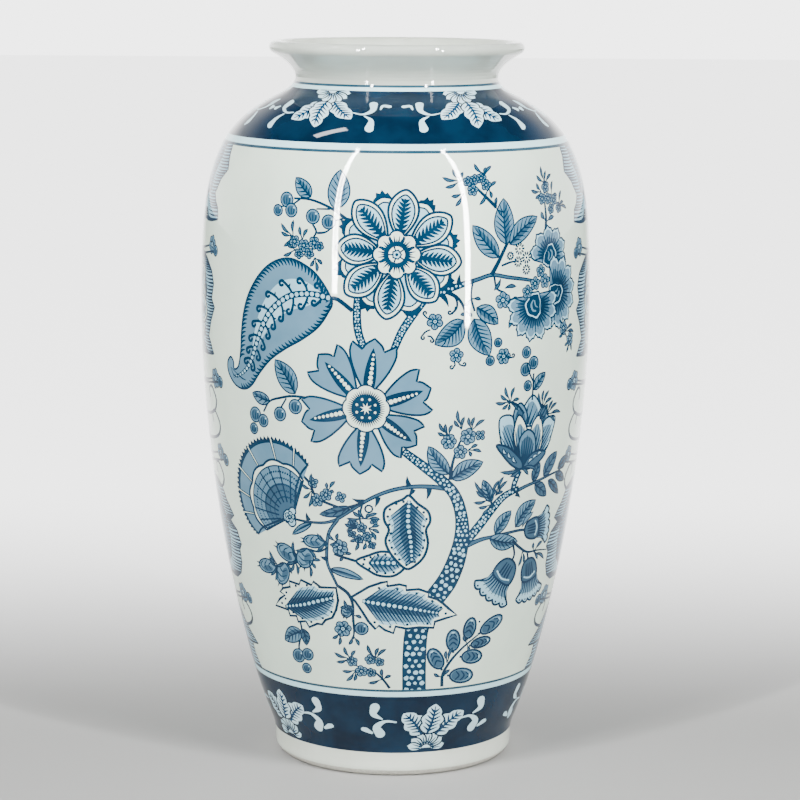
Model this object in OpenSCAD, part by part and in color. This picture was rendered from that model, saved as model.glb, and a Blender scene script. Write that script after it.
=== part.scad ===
// A tall ceramic vase with a short waisted neck, a rolled lip, a full shoulder and a
// tapered wall that ends in a turned foot ring. The clay is thrown in sections, and each
// section is luted to the next with slip in a V-shaped seam. Every coat of glaze is a ring
// of its own, so the cobalt bands, the thin ring lines and the white panel stay apart.
// The vase stands on z = 0 and turns about the Z axis.

/* [Outline] */
// Height from the table to the crest of the lip
vase_h = 356; // [350:1:362]
// Outer radius of the foot
foot_r = 59.6; // [58:0.1:61]
// Radius of the rounded lower edge of the foot
foot_edge = 5; // [3:0.5:6]
// Outer radius at the widest part of the body
belly_r = 96.4; // [92:0.1:100]
// Height of the widest part of the body
belly_z = 225; // [215:1:235]
// Outer radius where the shoulder turns up into the neck
shoulder_r = 64.6; // [63:0.1:66]
// Height where the shoulder turns up into the neck
shoulder_z = 327; // [326:0.5:328]
// Outer radius at the narrowest part of the neck
neck_r = 49.9; // [48:0.1:51]
// Height of the narrowest part of the neck
neck_z = 338.7; // [338:0.1:340]
// Outer radius of the lip
lip_r = 62.7; // [61:0.1:64]
// Radius of the roll along the edge of the lip
lip_roll = 3; // [2.5:0.1:3.5]

/* [Clay] */
// Thickness of the finished wall, both glazes included
wall_t = 5; // [4:0.5:7]
// Height of the floor inside the vase
floor_z = 11; // [10:0.5:13]
// Height of the recess under the vase
recess_z = 5; // [4:0.5:6]
// Inner radius of the foot ring
foot_bore_r = 44; // [40:1:45]
// Radius of the base slab
slab_r = 46; // [46:0.5:48]
// Height of the top of the foot ring
foot_ring_z = 9; // [8:0.5:9.5]
// Thickness of the slip in a seam
slip_t = 0.4; // [0.2:0.1:0.6]
// Depth of the V in a seam
seam_v = 2; // [1:0.5:3]

/* [Glaze] */
// Thickness of a coat of glaze
glaze_t = 0.4; // [0.2:0.1:0.6]
// Height of the bare clay at the bottom of the foot
bare_z = 3.2; // [2:0.2:4.5]

/* [Painted rings, heights from low to high] */
// Lower edge of the cobalt band at the foot
foot_band_low = 12.5; // [11:0.5:14]
// Upper edge of the cobalt band at the foot
foot_band_high = 43.5; // [40:0.5:44.5]
// Lower edge of the ring line under the panel
low_line_low = 46.2; // [45.6:0.1:46.8]
// Upper edge of the ring line under the panel
low_line_high = 47.4; // [47.1:0.1:48]
// Lower edge of the ring line over the panel
high_line_low = 306.9; // [306:0.1:307.2]
// Upper edge of the ring line over the panel
high_line_high = 308.2; // [307.8:0.1:308.8]
// Lower edge of the cobalt band on the shoulder
shoulder_band_low = 311.1; // [310:0.1:312]
// Upper edge of the cobalt band on the shoulder
shoulder_band_high = 333.9; // [332:0.1:334.2]
// Lower edge of the ring line at the neck
neck_line_low = 335.6; // [335:0.1:336]
// Upper edge of the ring line at the neck
neck_line_high = 336.7; // [336.4:0.1:337.2]

/* [Hidden] */
$fn = 180;

// Where the foot's upright collar ends and the wall begins to flare
flare = [foot_r + 2.1, 18];
flare_slope = 0.42;
// The body's other turning points
belly = [belly_r, belly_z];
shoulder = [shoulder_r, shoulder_z];
shoulder_slope = -1.7;
neck = [neck_r, neck_z];
roll_centre = [lip_r - lip_roll, vase_h - lip_roll];
// The roll is round from this angle under the lip to its crest
roll_from = -60;
// Inside corner between the wall and the floor
corner_r = 10;
// Seams: how far along the lower wall, and which part of the neck curve
waist_share = 0.62;
tiny = 0.001;

// ---- curves, each a list of [radius, height] points ----

// A unit vector that rises with the given run per rise
function rising(slope) = [slope, 1] / norm([slope, 1]);
function on_circle(angle) = [cos(angle), sin(angle)];
function bezier(p, steps) = [
    for (i = [0:steps]) let (t = i / steps, s = 1 - t)
        s * s * s * p[0] + 3 * s * s * t * p[1] + 3 * s * t * t * p[2] + t * t * t * p[3]
];
function arc(centre, radii, from, to, steps) = [
    for (i = [0:steps]) let (a = from + (to - from) * i / steps)
        centre + [radii[0] * cos(a), radii[1] * sin(a)]
];
function rest(list) = [for (i = [1:len(list) - 1]) list[i]];
function part_of(list, from, to) = [for (i = [from:to]) list[i]];
function reversed(list) = [for (i = [len(list) - 1:-1:0]) list[i]];

collar_steps = 6;
wall_steps = 30;
neck_steps = 10;
roll_steps = 10;

foot_curve = arc([foot_r - foot_edge, foot_edge], [foot_edge, foot_edge], -90, 0, collar_steps);
collar_curve = bezier([
    [foot_r, foot_edge], [foot_r, foot_edge + 6], flare - 4 * rising(flare_slope), flare
], collar_steps);
lower_curve = bezier([
    flare, flare + 43 * rising(flare_slope), belly - [0, 75], belly
], wall_steps);
upper_curve = bezier([
    belly, belly + [0, 60], shoulder - 33 * rising(shoulder_slope), shoulder
], wall_steps);
neck_curve = bezier([
    shoulder, shoulder + 6.6 * rising(shoulder_slope), neck - [0, 5.5], neck
], neck_steps);
under_lip = roll_centre + lip_roll * on_circle(roll_from);
flare_curve = bezier([
    neck, neck + [0, 5.5], under_lip - 2.8 * on_circle(roll_from + 90), under_lip
], neck_steps);
roll_curve = arc(roll_centre, [lip_roll, lip_roll], roll_from, 90, roll_steps);

outer_line = concat(
    foot_curve, rest(collar_curve), rest(lower_curve), rest(upper_curve),
    rest(neck_curve), rest(flare_curve), rest(roll_curve)
);
// The places of the turning points in outer_line
foot_i = collar_steps;
flare_i = foot_i + collar_steps;
waist_i = flare_i + round(waist_share * wall_steps);
shoulder_i = flare_i + 2 * wall_steps;
neck_i = shoulder_i + neck_steps;
crest_i = len(outer_line) - 1;

function along(i) = let (
    a = outer_line[max(i - 1, 0)], b = outer_line[min(i + 1, crest_i)]
) (b - a) / norm(b - a);
function outward(i) = let (t = along(i)) [t[1], -t[0]];
function inset(i, depth) = outer_line[i] - depth * outward(i);

// The clay's outer face lies one glaze coat inside, and meets the table at the foot
clay_foot = arc(
    [foot_r - foot_edge, foot_edge], [foot_edge - glaze_t, foot_edge], -90, 0, collar_steps
);
clay_roll = arc(
    roll_centre, [lip_roll - glaze_t, lip_roll - glaze_t], roll_from, 90, roll_steps
);
clay_line = concat(
    clay_foot,
    [for (i = [foot_i + 1:crest_i - roll_steps]) inset(i, glaze_t)],
    rest(clay_roll)
);

// The inside face of the wall, from just above the corner to the neck, one point for each
// point of outer_line from bore_i on
bore_i = flare_i + 1;
function bore_wall(depth) = [for (i = [bore_i:neck_i]) inset(i, depth)];
// From the neck up to the crest of the lip; depth is measured from the outside
function mouth(depth) = let (
    low = inset(neck_i, depth), drop = wall_t - depth,
    crest = [roll_centre[0], vase_h - drop]
) bezier([low, low + [0, 7.5], crest - [5.7, 0], crest], neck_steps);
// The floor and its corner; lift is how far it lies under the glazed floor
function floor_corner(lift) = let (
    start = inset(bore_i, wall_t - lift),
    edge = start[0] - corner_r
) bezier([
    [edge - lift, floor_z - lift], [edge + 5, floor_z - lift],
    start - 5 * along(bore_i), start
], collar_steps);
function inside_line(drop) = concat(
    [[0, floor_z - drop]], floor_corner(drop), rest(bore_wall(wall_t - drop)),
    rest(mouth(wall_t - drop))
);

// A seam across the wall at point i: outer end, bottom of the V, inner end
function seam(i, shift) = let (
    t = along(i), a = clay_line[i] + shift * t, c = inset(i, wall_t - glaze_t) + shift * t
) [a, (a + c) / 2 - seam_v * t, c];

// The stretch of a line between two heights
function at_height(line, z) = [lookup(z, [for (p = line) [p[1], p[0]]]), z];
function stretch(line, low, high) = concat(
    [at_height(line, low)],
    [for (p = line) if (p[1] > low + tiny && p[1] < high - tiny) p],
    [at_height(line, high)]
);

// ---- solids ----

module turned(points) {
    rotate_extrude() polygon(points);
}

// One thrown section of wall between two seams
module section(from, to) {
    turned(concat(
        part_of(clay_line, from + 1, to - 1),
        seam(to, 0),
        [for (i = [to - 1:-1:from + 1]) inset(i, wall_t - glaze_t)],
        reversed(seam(from, slip_t))
    ));
}

// The slip squeezed into a seam
module lute(i) {
    turned(concat(seam(i, 0), reversed(seam(i, slip_t))));
}

// A ring of glaze on the outside between two heights
module coat(low, high) {
    turned(concat(stretch(outer_line, low, high), reversed(stretch(clay_line, low, high))));
}

module foot_ring() {
    color("wheat") turned(concat(
        stretch(clay_line, 0, foot_ring_z),
        [
            [slab_r + slip_t, foot_ring_z], [slab_r + slip_t, recess_z],
            [foot_bore_r, recess_z], [foot_bore_r, 1.5], [foot_bore_r + 1.5, 0]
        ]
    ));
}

module base_slab() {
    color("wheat") translate([0, 0, recess_z]) cylinder(h = floor_z - glaze_t - recess_z, r = slab_r);
}

module lower_body() {
    bottom = foot_ring_z + slip_t;
    inner = floor_corner(glaze_t);
    color("antiquewhite") turned(concat(
        stretch(clay_line, bottom, clay_line[waist_i - 1][1]),
        seam(waist_i, 0),
        [for (i = [waist_i - 1:-1:bore_i + 1]) inset(i, wall_t - glaze_t)],
        reversed([for (p = inner) if (p[0] > slab_r + slip_t + tiny) p]),
        [[slab_r + slip_t, floor_z - glaze_t], [slab_r + slip_t, bottom]]
    ));
}

module upper_body() {
    color("antiquewhite") section(waist_i, shoulder_i);
}

module neck_collar() {
    color("antiquewhite") section(shoulder_i, neck_i);
}

module rolled_lip() {
    color("antiquewhite") turned(concat(
        part_of(clay_line, neck_i + 1, crest_i),
        reversed(rest(mouth(wall_t - glaze_t))),
        reversed(seam(neck_i, slip_t))
    ));
}

module base_lute() {
    top = foot_ring_z + slip_t;
    side = slab_r + slip_t;
    color("tan") turned([
        [slab_r, recess_z], [side, recess_z], [side, foot_ring_z],
        at_height(clay_line, foot_ring_z), at_height(clay_line, top),
        [side, top], [side, floor_z - glaze_t], [slab_r, floor_z - glaze_t]
    ]);
}

module waist_lute() {
    color("tan") lute(waist_i);
}

module shoulder_lute() {
    color("tan") lute(shoulder_i);
}

module neck_lute() {
    color("tan") lute(neck_i);
}

module inner_glaze() {
    color("whitesmoke") turned(concat(inside_line(0), reversed(inside_line(glaze_t))));
}

module underside_glaze() {
    color("whitesmoke") translate([0, 0, recess_z - glaze_t])
        cylinder(h = glaze_t, r = foot_bore_r - 0.5);
}

module foot_glaze() {
    color("ivory") coat(bare_z, foot_band_low);
}

module foot_band() {
    color("midnightblue") coat(foot_band_low, foot_band_high);
}

module panel_glaze() {
    color("ivory") coat(low_line_high, high_line_low);
}

module shoulder_band() {
    color("midnightblue") coat(shoulder_band_low, shoulder_band_high);
}

module neck_glaze() {
    color("ivory") turned(concat(
        stretch(outer_line, neck_line_high, vase_h),
        reversed(stretch(clay_line, neck_line_high, vase_h - glaze_t))
    ));
}

module pale_rings() {
    color("lightsteelblue") {
        coat(foot_band_high, low_line_low);
        coat(high_line_high, shoulder_band_low);
        coat(shoulder_band_high, neck_line_low);
    }
}

module ring_lines() {
    color("steelblue") {
        coat(low_line_low, low_line_high);
        coat(high_line_low, high_line_high);
        coat(neck_line_low, neck_line_high);
    }
}

foot_ring();
base_slab();
lower_body();
upper_body();
neck_collar();
rolled_lip();
base_lute();
waist_lute();
shoulder_lute();
neck_lute();
inner_glaze();
underside_glaze();
foot_glaze();
foot_band();
panel_glaze();
shoulder_band();
neck_glaze();
pale_rings();
ring_lines();
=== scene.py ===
"""A tall blue-and-white vase: the packed clay model with its painted glaze built over it."""
import math

import bpy
import numpy as np
from mathutils import Matrix, Vector
from mathutils.geometry import delaunay_2d_cdt


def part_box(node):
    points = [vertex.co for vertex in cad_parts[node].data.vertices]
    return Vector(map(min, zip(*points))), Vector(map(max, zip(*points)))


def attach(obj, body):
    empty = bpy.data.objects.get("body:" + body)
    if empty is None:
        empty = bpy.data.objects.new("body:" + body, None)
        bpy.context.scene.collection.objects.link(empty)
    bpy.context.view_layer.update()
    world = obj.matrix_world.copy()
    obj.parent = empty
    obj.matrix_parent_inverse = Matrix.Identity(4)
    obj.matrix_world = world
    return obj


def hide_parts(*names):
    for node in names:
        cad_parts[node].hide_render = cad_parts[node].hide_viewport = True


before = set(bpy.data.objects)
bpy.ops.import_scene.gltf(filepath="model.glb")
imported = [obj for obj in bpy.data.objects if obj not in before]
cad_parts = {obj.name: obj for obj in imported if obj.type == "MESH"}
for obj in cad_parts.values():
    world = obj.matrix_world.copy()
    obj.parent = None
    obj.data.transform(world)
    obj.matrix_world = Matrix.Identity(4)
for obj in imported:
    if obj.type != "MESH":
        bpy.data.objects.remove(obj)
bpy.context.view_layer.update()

MM = 0.001

# ---- drawing kit ----
# A drawing is a list of (tone, outline) patches in the order a brush lays them down. Points are
# complex numbers in millimetres: the real part runs round the wall, to the right as seen from
# outside, and the imaginary part runs up the wall from the table.


def curve(points, closed=False, steps=5):
    """A smooth line through the points."""
    p = np.array(points, complex)
    if closed:
        p = np.concatenate([p[-1:], p, p[:2]])
    else:
        p = np.concatenate([[2 * p[0] - p[1]], p, [2 * p[-1] - p[-2]]])
    a, b, c, d = (q[:, None] for q in (p[:-3], p[1:-2], p[2:-1], p[3:]))
    t = np.arange(steps) / steps
    line = b + 0.5 * t * (c - a + t * (2 * a - 5 * b + 4 * c - d + t * (3 * (b - c) + d - a)))
    line = line.ravel()
    return line if closed else np.append(line, p[-2])


def along(line, shares):
    """Points at the given shares of an open line's length."""
    line = np.asarray(line, complex)
    reach = np.concatenate([[0], np.cumsum(abs(np.diff(line)))])
    return np.interp(np.asarray(shares) * reach[-1], reach, line)


def sideways(line):
    """Unit vectors to the left of an open line, one for each point."""
    step = np.gradient(np.asarray(line, complex))
    return 1j * step / np.maximum(abs(step), 1e-9)


def turned(degrees):
    return np.exp(1j * np.radians(degrees))


def ring(centre, radius, count=14):
    return centre + radius * np.exp(2j * np.pi * np.arange(count) / count)


def room_to(outline, roots, ways):
    """How far each root may go along its way before it meets the outline."""
    a = np.asarray(outline)[None, :]
    side = np.roll(a, -1, 1) - a
    root, way = roots[:, None], ways[:, None]
    cross = (way.conj() * side).imag
    far = ((a - root).conj() * side).imag / cross
    share = ((a - root).conj() * way).imag / cross
    return np.where((share >= 0) & (share <= 1) & (far > 0), far, 99).min(1)


# How heavily the fine brush is loaded: the share by which lines are wider than they are named
BRUSH = 1.6


class Drawing:
    """Patches of colour, with brush strokes and outlined shapes built on them."""

    def __init__(self):
        self.patches = []

    def patch(self, tone, outline):
        self.patches.append((tone, np.asarray(outline, complex)))

    def stroke(self, points, width=0.5, ends=(0.5, 0.3), tone="ink", steps=4):
        line = curve(points, steps=steps)
        share = np.linspace(0, 1, len(line))
        half = sideways(line) * BRUSH * width / 2 * np.interp(share, [0, 0.4, 1], [ends[0], 1, ends[1]])
        self.patch(tone, np.concatenate([line + half, (line - half)[::-1]]))

    def shape(self, outline, fill, line=0.45, tone="ink"):
        """A filled outline with a drawn edge."""
        outline = np.asarray(outline, complex)
        step = np.roll(outline, -1) - np.roll(outline, 1)
        out = -1j * step / np.maximum(abs(step), 1e-9)
        area = (outline.conj() * np.roll(outline, -1)).imag.sum()
        out = out * np.sign(area) * BRUSH * line / 2
        self.patch(tone, outline + out)
        self.patch(fill, outline - out)

    def dots(self, centres, radii, tone="pale", count=8):
        radii = np.broadcast_to(radii, np.shape(centres))
        for centre, radius in zip(centres, radii):
            self.patch(tone, ring(centre, radius, count))

    # -- leaves --

    def leaf(self, base, tip, width, bend=0.08, fill="wash", veins=5, line=0.45):
        """A smooth leaf with a midrib and side veins, shaded darker along one side."""
        reach = tip - base
        unit = reach / abs(reach)

        def place(t, across=0):
            swell = np.sin(np.pi * np.asarray(t) ** 0.85) ** 0.75
            middle = base + reach * (t + 1j * bend * np.sin(np.pi * t))
            return middle + 1j * unit * across * width / 2 * swell

        t = np.linspace(0, 1, 11)
        self.shape(np.concatenate([place(t, 1), place(t[-2:0:-1], -1)]), fill, line)
        self.patch("mid", np.concatenate([place(t, 0), place(t[-2:0:-1], -0.55)]))
        self.stroke(place(np.linspace(0, 0.92, 5)), 0.6, (1, 0.3))
        for start in np.linspace(0.12, 0.68, veins):
            for side in (-1, 1):
                rib = [place(start), place(start + 0.1, side * 0.4), place(start + 0.2, side * 0.85)]
                self.stroke(rib, 0.46, (1, 0.4), steps=2)

    def leaflet(self, base, tip, width=1.3, fill="mid", bend=0.1):
        """A small dark leaf made with one press of the brush."""
        reach = tip - base
        t = np.linspace(0, 1, 6)
        middle = base + reach * (t + 1j * bend * np.sin(np.pi * t))
        side = 1j * reach / abs(reach) * width / 2 * np.sin(np.pi * t ** 1.3)
        self.shape(np.concatenate([middle + side, (middle - side)[-2:0:-1]]), fill, 0.4)
        self.stroke([base, base + reach * 0.6], 0.35, (1, 0.2), steps=2)

    def tuft(self, base, tips, width=1.3):
        for tip in tips:
            self.leaflet(base + 0.25 * (tip - base), tip, width)
            self.stroke([base, base + 0.3 * (tip - base)], 0.4, (1, 1), steps=2)

    # -- small flowers and fruit --

    def berry(self, centre, radius=3.2, light=0.35 + 0.3j):
        self.shape(ring(centre, radius, 16), "wash", 0.45)
        self.patch("mid", ring(centre - 0.12 * radius * light, radius * 0.74, 14))
        for k in (-0.4, 0, 0.4):
            top = centre + radius * (k * 0.9 + 0.45j)
            low = centre + radius * (k * 0.7 - 0.6j)
            self.stroke([top, centre + radius * k * 1.2, low], 0.35, (0.3, 1), steps=3)
        self.patch("pale", ring(centre + radius * 0.62 * light / abs(light), radius * 0.14, 7))

    def blossom(self, centre, radius=3, petals=5, turn=20, fill="wash"):
        """A small round-petalled flower seen from the front."""
        for spoke in turned(turn + 360 / petals * np.arange(petals)):
            self.shape(ring(centre + spoke * radius * 0.6, radius * 0.43, 10), fill, 0.4)
            self.stroke([centre + spoke * radius * 0.3, centre + spoke * radius * 0.8], 0.4, (1, 0.3),
                        steps=2)
        self.shape(ring(centre, radius * 0.3, 9), "pale", 0.45)
        self.patch("ink", ring(centre, radius * 0.11, 6))

    def bud(self, base, tip, width, fill="wash"):
        """A round closed bud with curved lines across it, two side leaves and a spur at its tip."""
        reach = tip - base
        unit = reach / abs(reach)

        def place(t, across=0):
            return base + reach * t + 1j * unit * across * width / 2

        angle = np.linspace(0, 2 * np.pi, 18, endpoint=False)
        self.shape(place(0.44 - 0.42 * np.cos(angle), np.sin(angle)), fill, 0.5)
        self.patch("mid", place(0.4 - 0.24 * np.cos(angle), 0.36 + 0.44 * np.sin(angle)))
        for t, size in ((0.24, 0.62), (0.44, 0.8), (0.64, 0.62)):
            self.stroke([place(t, -size), place(t + 0.12, -0.1), place(t, size * 0.8)], 0.5, (0.4, 0.4),
                        steps=3)
        for side in (-1, 1):
            self.leaflet(base, place(0.3, 1.3 * side), 1.3)
            self.stroke([place(0.8, 0.2 * side), place(1, 0.35 * side)], 0.6, (1, 0.2), steps=2)

    def curl(self, start, end, hook=1.2, width=0.7, side=1, tone="ink"):
        """A stroke that runs from start to end and winds into a small hook with a blob."""
        unit = (end - start) / abs(end - start)
        turn = np.linspace(0, 1.5 * np.pi, 7)
        centre = end + 1j * unit * side * hook
        spin = np.exp(1j * side * turn) * (1 - 0.08 * turn)
        coil = centre - 1j * unit * side * hook * spin
        middle = (start + end) / 2 - 0.6j * unit * side
        self.stroke(np.concatenate([[start, middle], coil]), width, (0.8, 0.8), tone, 3)
        self.patch(tone, ring(coil[-1], width * 0.75, 8))

    # -- branches --

    def limb(self, points, widths, stones=False, fill="deep", seed=0):
        """A branch with drawn edges, filled with pale pebbles or left plain."""
        line = curve(points)
        half = np.interp(np.linspace(0, 1, len(line)), np.linspace(0, 1, len(widths)), widths) / 2
        side = sideways(line)
        self.patch("ink", np.concatenate([line + side * half, (line - side * half)[::-1]]))
        inner = half - 0.4 * BRUSH
        self.patch(fill, np.concatenate([line + side * inner, (line - side * inner)[::-1]]))
        if not stones:
            return
        dice = np.random.default_rng(seed)
        reach = np.concatenate([[0], np.cumsum(abs(np.diff(line)))])
        spot = 1.0
        lean = 0.21
        while spot < reach[-1] - 0.8:
            middle, room, across = (np.interp(spot, reach, track) for track in (line, inner, side))
            count = max(1, round(2 * room / (1.2 + 0.34 * room)))
            pitch = 2 * room / count
            for k in range(count):
                size = 0.335 * pitch * dice.uniform(0.72, 1.16)
                shift = (k + 0.5 + lean + dice.uniform(-0.1, 0.1)) * pitch - room
                shift = np.clip(shift, size + 0.1 - room, room - size - 0.1)
                centre = middle + across * (shift + 0.16j * pitch * dice.uniform(-1, 1))
                self.patch("pale", centre + ring(0, size, 9) * dice.uniform(0.84, 1.16, 9))
            spot += 0.95 * pitch
            lean = -lean

    def thorn(self, base, tip, width=1.3):
        self.stroke([base, base + 0.5 * (tip - base) * (1+0.12j), tip], width, (1.3, 0.15), steps=3)

    # -- leaves with a beaded midrib --

    def hatch(self, spine, shares, lean, length, width=0.55, sides=(-1, 1), tone="ink"):
        """Slanting strokes that grow out of a spine on the given sides."""
        roots = along(spine, shares)
        ways = along(np.asarray(spine) + sideways(spine), shares) - roots
        lengths = np.broadcast_to(length, roots.shape)
        for root, way, size in zip(roots, ways, lengths):
            for side in sides:
                tip = root + way * side * size * turned(-lean * side)
                self.stroke([root, tip], width, (1, 0.25), tone, 2)

    def beads(self, spine, widths, gap=0.7, band=0.9, tone="pale"):
        """A dark band with a row of pale beads along it."""
        line = curve(spine)
        at = np.linspace(0, 1, len(line))
        half = np.interp(at, np.linspace(0, 1, len(widths)), widths) / 2
        side = sideways(line)
        self.patch("deep", np.concatenate([line + side * half * band, (line - side * half * band)[::-1]]))
        reach = np.concatenate([[0], np.cumsum(abs(np.diff(line)))])
        spot = 0.8
        while spot < reach[-1] - 0.4:
            radius = np.interp(spot, reach, half) * 0.62
            self.patch(tone, ring(np.interp(spot, reach, line), radius, 9))
            spot += 2 * radius + gap


# ---- the painted tree ----


def feather_flower(art, centre):
    """The upper flower: eight petals, each with a fishbone feather in it."""
    tips = [4.5+30j, 25.5+17.5j, 30.5-4j, 18.5-21.5j, -5-30j, -24-18.5j, -28.5+3j, -19.5+24.5j]
    t = 0.5 - 0.5 * np.cos(np.linspace(0, np.pi, 17))

    def petal(tip, start, end, width):
        way = tip / abs(tip)
        line = tip * (start + (end - start) * t)
        side = 1j * way * width / 2 * np.sin(np.pi * (0.04 + 0.96 * t) ** 1.3) ** 0.62
        return centre + np.concatenate([line + side, (line - side)[-2::-1]])

    gaps = [tip / abs(tip) + after / abs(after) for tip, after in zip(tips, tips[1:] + tips[:1])]
    for gap in gaps:
        way = gap / abs(gap)
        points = [15-4j, 25-4.6j, 27-3.6j, 28.6-3j, 28.2-1.8j, 30.4-0.8j, 28.8+0.4j, 29.8+2j,
                  27.8+2.4j, 27+3.8j, 25+4.6j, 15+4j]
        art.shape(centre + way * np.array(points), "deep", 0.5)
    for gap in gaps:
        art.shape(petal(gap / abs(gap) * 27.8, 0.3, 0.98, 17.5), "white", 0.55)
        art.shape(petal(gap / abs(gap) * 25.4, 0.3, 0.98, 14), "pale", 0.45)
    for tip in tips:
        art.shape(petal(tip, 0.26, 1.0, 14.2), "white", 0.72)
    for tip in tips:
        art.shape(petal(tip, 0.3, 0.92, 10.6), "pale", 0.5)
        quill = centre + tip * np.linspace(0.34, 0.86, 6)
        art.stroke(quill, 1.1, (1.2, 0.5), "deep", 2)
        shares = np.linspace(0.0, 0.9, 8)
        lengths = 4.3 * np.sin(np.pi * (0.22 + 0.66 * shares)) ** 0.8
        art.hatch(quill, shares, 36, lengths, 1.0, tone="deep")
    angle = 2 * np.pi * np.arange(72) / 72
    art.shape(centre + (8.6 + 2.6 * abs(np.cos(4 * angle)) ** 0.55) * np.exp(1j * angle), "white", 0.55)
    for notch in turned(22.5 + 45 * np.arange(8)):
        art.stroke([centre + notch * 6, centre + notch * 9], 0.6, (1, 1), steps=2)
    for k, spoke in enumerate(turned(np.arange(0, 360, 9))):
        reach = 8.8 if k % 2 else 7.4
        art.stroke([centre + spoke * 4.6, centre + spoke * reach], 0.55, (1.7, 0.2), "deep", 2)
    art.patch("deep", ring(centre, 5.6, 24))
    art.shape(ring(centre, 4.1, 20), "white", 0.3)
    art.shape(ring(centre, 2.2, 5), "pale", 0.5)
    for spoke in turned(36 + 72 * np.arange(5)):
        art.stroke([centre + spoke * 1.6, centre + spoke * 3.9], 0.45, (1, 1), steps=2)
    art.patch("ink", ring(centre, 0.8, 8))


def pod_flower(art, centre):
    """The lower flower: six three-pointed petals, each with a beaded pod in it."""
    petals = [(83, 33.5, 21), (18, 32, 21), (-36, 29.5, 19), (-95, 32, 21), (194, 33, 21), (133, 34, 21)]
    edge = [9+2.4j, 14+5.4j, 20+8.2j, 26+9.8j, 30.5+9.2j, 27.4+4.6j, 30+3.4j, 33]
    for angle, reach, width in petals:
        half = np.array([p.real * reach / 33 + 1j * p.imag * width / 18.6 for p in edge])
        rise = curve(half[:5], steps=3)
        cap = curve(half[5:], steps=3)
        side = np.concatenate([rise, cap])
        outline = centre + turned(angle) * np.concatenate([side.conj(), side[-2::-1]])
        art.shape(outline, "wash", 0.66)
        t = np.linspace(0, 1, 9)
        pod = 9 + 19.5 * t * reach / 33 + 1j * 2.5 * np.sin(np.pi * (0.3 + 0.7 * t)) ** 0.9
        art.shape(centre + turned(angle) * np.concatenate([pod.conj(), pod[-2::-1]]), "deep", 0.5)
        spots = np.linspace(10.5, 25.5, 8) * reach / 33
        art.dots(centre + turned(angle) * (spots - 0.35j), np.linspace(1.25, 0.6, 8), "white", 9)
    angle = 2 * np.pi * np.arange(64) / 64
    art.shape(centre + (10.3 + 1.0 * abs(np.cos(4 * angle)) ** 0.7) * np.exp(1j * angle), "white", 0.5)
    for spoke in turned(np.arange(0, 360, 7.5)):
        art.stroke([centre + spoke * 5.5, centre + spoke * 9], 0.5, (1.5, 0.2), "deep", 2)
    art.patch("deep", ring(centre, 6.6, 28))
    art.dots(centre + 4.7 * turned(22.5 + 45 * np.arange(8)), 0.62, "white")
    star = [3.0 if k % 2 else 1.1 for k in range(16)]
    art.patch("white", centre + np.array(star) * turned(22.5 * np.arange(16) + 8))


def paisley_leaf(art):
    """The great curled leaf at the upper left."""
    outline = curve([
        -30+246j, -37+257j, -45+262.5j, -53+264.5j, -62+262j, -70+256j, -77+247j, -81+238j,
        -83+228j, -84+217j, -86+210j, -89.5+208.5j, -90+212j, -92.5+214j, -95.3+211j,
        -94.5+206j, -89+201j, -82+199.5j, -76+202j, -70+209j, -63+216j, -54+222j, -45+227j,
        -37+233j, -32+240j,
    ], closed=True)
    art.shape(outline, "wash", 0.6)
    glow = curve([-35+248j, -42+253.6j, -51+255j, -59+252j, -66+245j, -71+236j, -74+226j, -74.6+218j,
                  -68+226j, -63+232j, -57+237j, -50+240.6j, -42+243j], closed=True)
    art.patch("pale", glow)
    edge = np.append(outline, outline[0])
    rim = along(edge, np.linspace(0, 0.985, 96))
    step = -1j * sideways(rim)
    for k, (root, way) in enumerate(zip(rim, step)):
        if root.imag < 214 and root.real < -84:
            continue
        inward = way * turned(118)
        size = 3.8 if k < 46 else 3.2
        bow = root + inward * size * 0.5 * (1+0.2j)
        art.stroke([root, bow, root + inward * size], 0.8, (1.3, 0.3), "deep", 2)
    spine = [-31+247j, -40+248.5j, -50+247.5j, -57+244j, -64+238j, -69+230j, -73+221j,
             -77+212.5j, -83+207j, -90+204.5j]
    line = curve(spine)
    hooks = [(0.05, 5), (0.14, 7), (0.24, 8), (0.34, 7.8), (0.44, 7), (0.53, 6.2), (0.62, 5.4), (0.7, 4.6),
             (0.78, 3.6)]
    for share, size in hooks:
        root, ahead = along(line, [share, share + 0.02])
        way = (ahead - root) / abs(ahead - root)
        for side in (-1, 1):
            bow = root + way * turned(-66 * side) * size
            art.curl(root, bow, 1.45, 0.95, side, "deep")
            rib = [root + 0.5 * (bow - root), root + (bow - root) * (0.62 - 0.3j * side)]
            art.stroke(rib, 0.7, (1, 0.5), "deep", 2)
    art.beads(spine, [3.6, 3.4, 3.6, 3.8, 3.4, 3, 2.4, 1.2], 0.6)
    for end in (-90+204.5j, -84+204j):
        art.stroke([end + 4, end + 1j, -92.5+209j], 0.5)
    art.stroke([-31+247j, -27+246.5j, -20+241.5j], 1.3, (1, 1))


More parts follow.
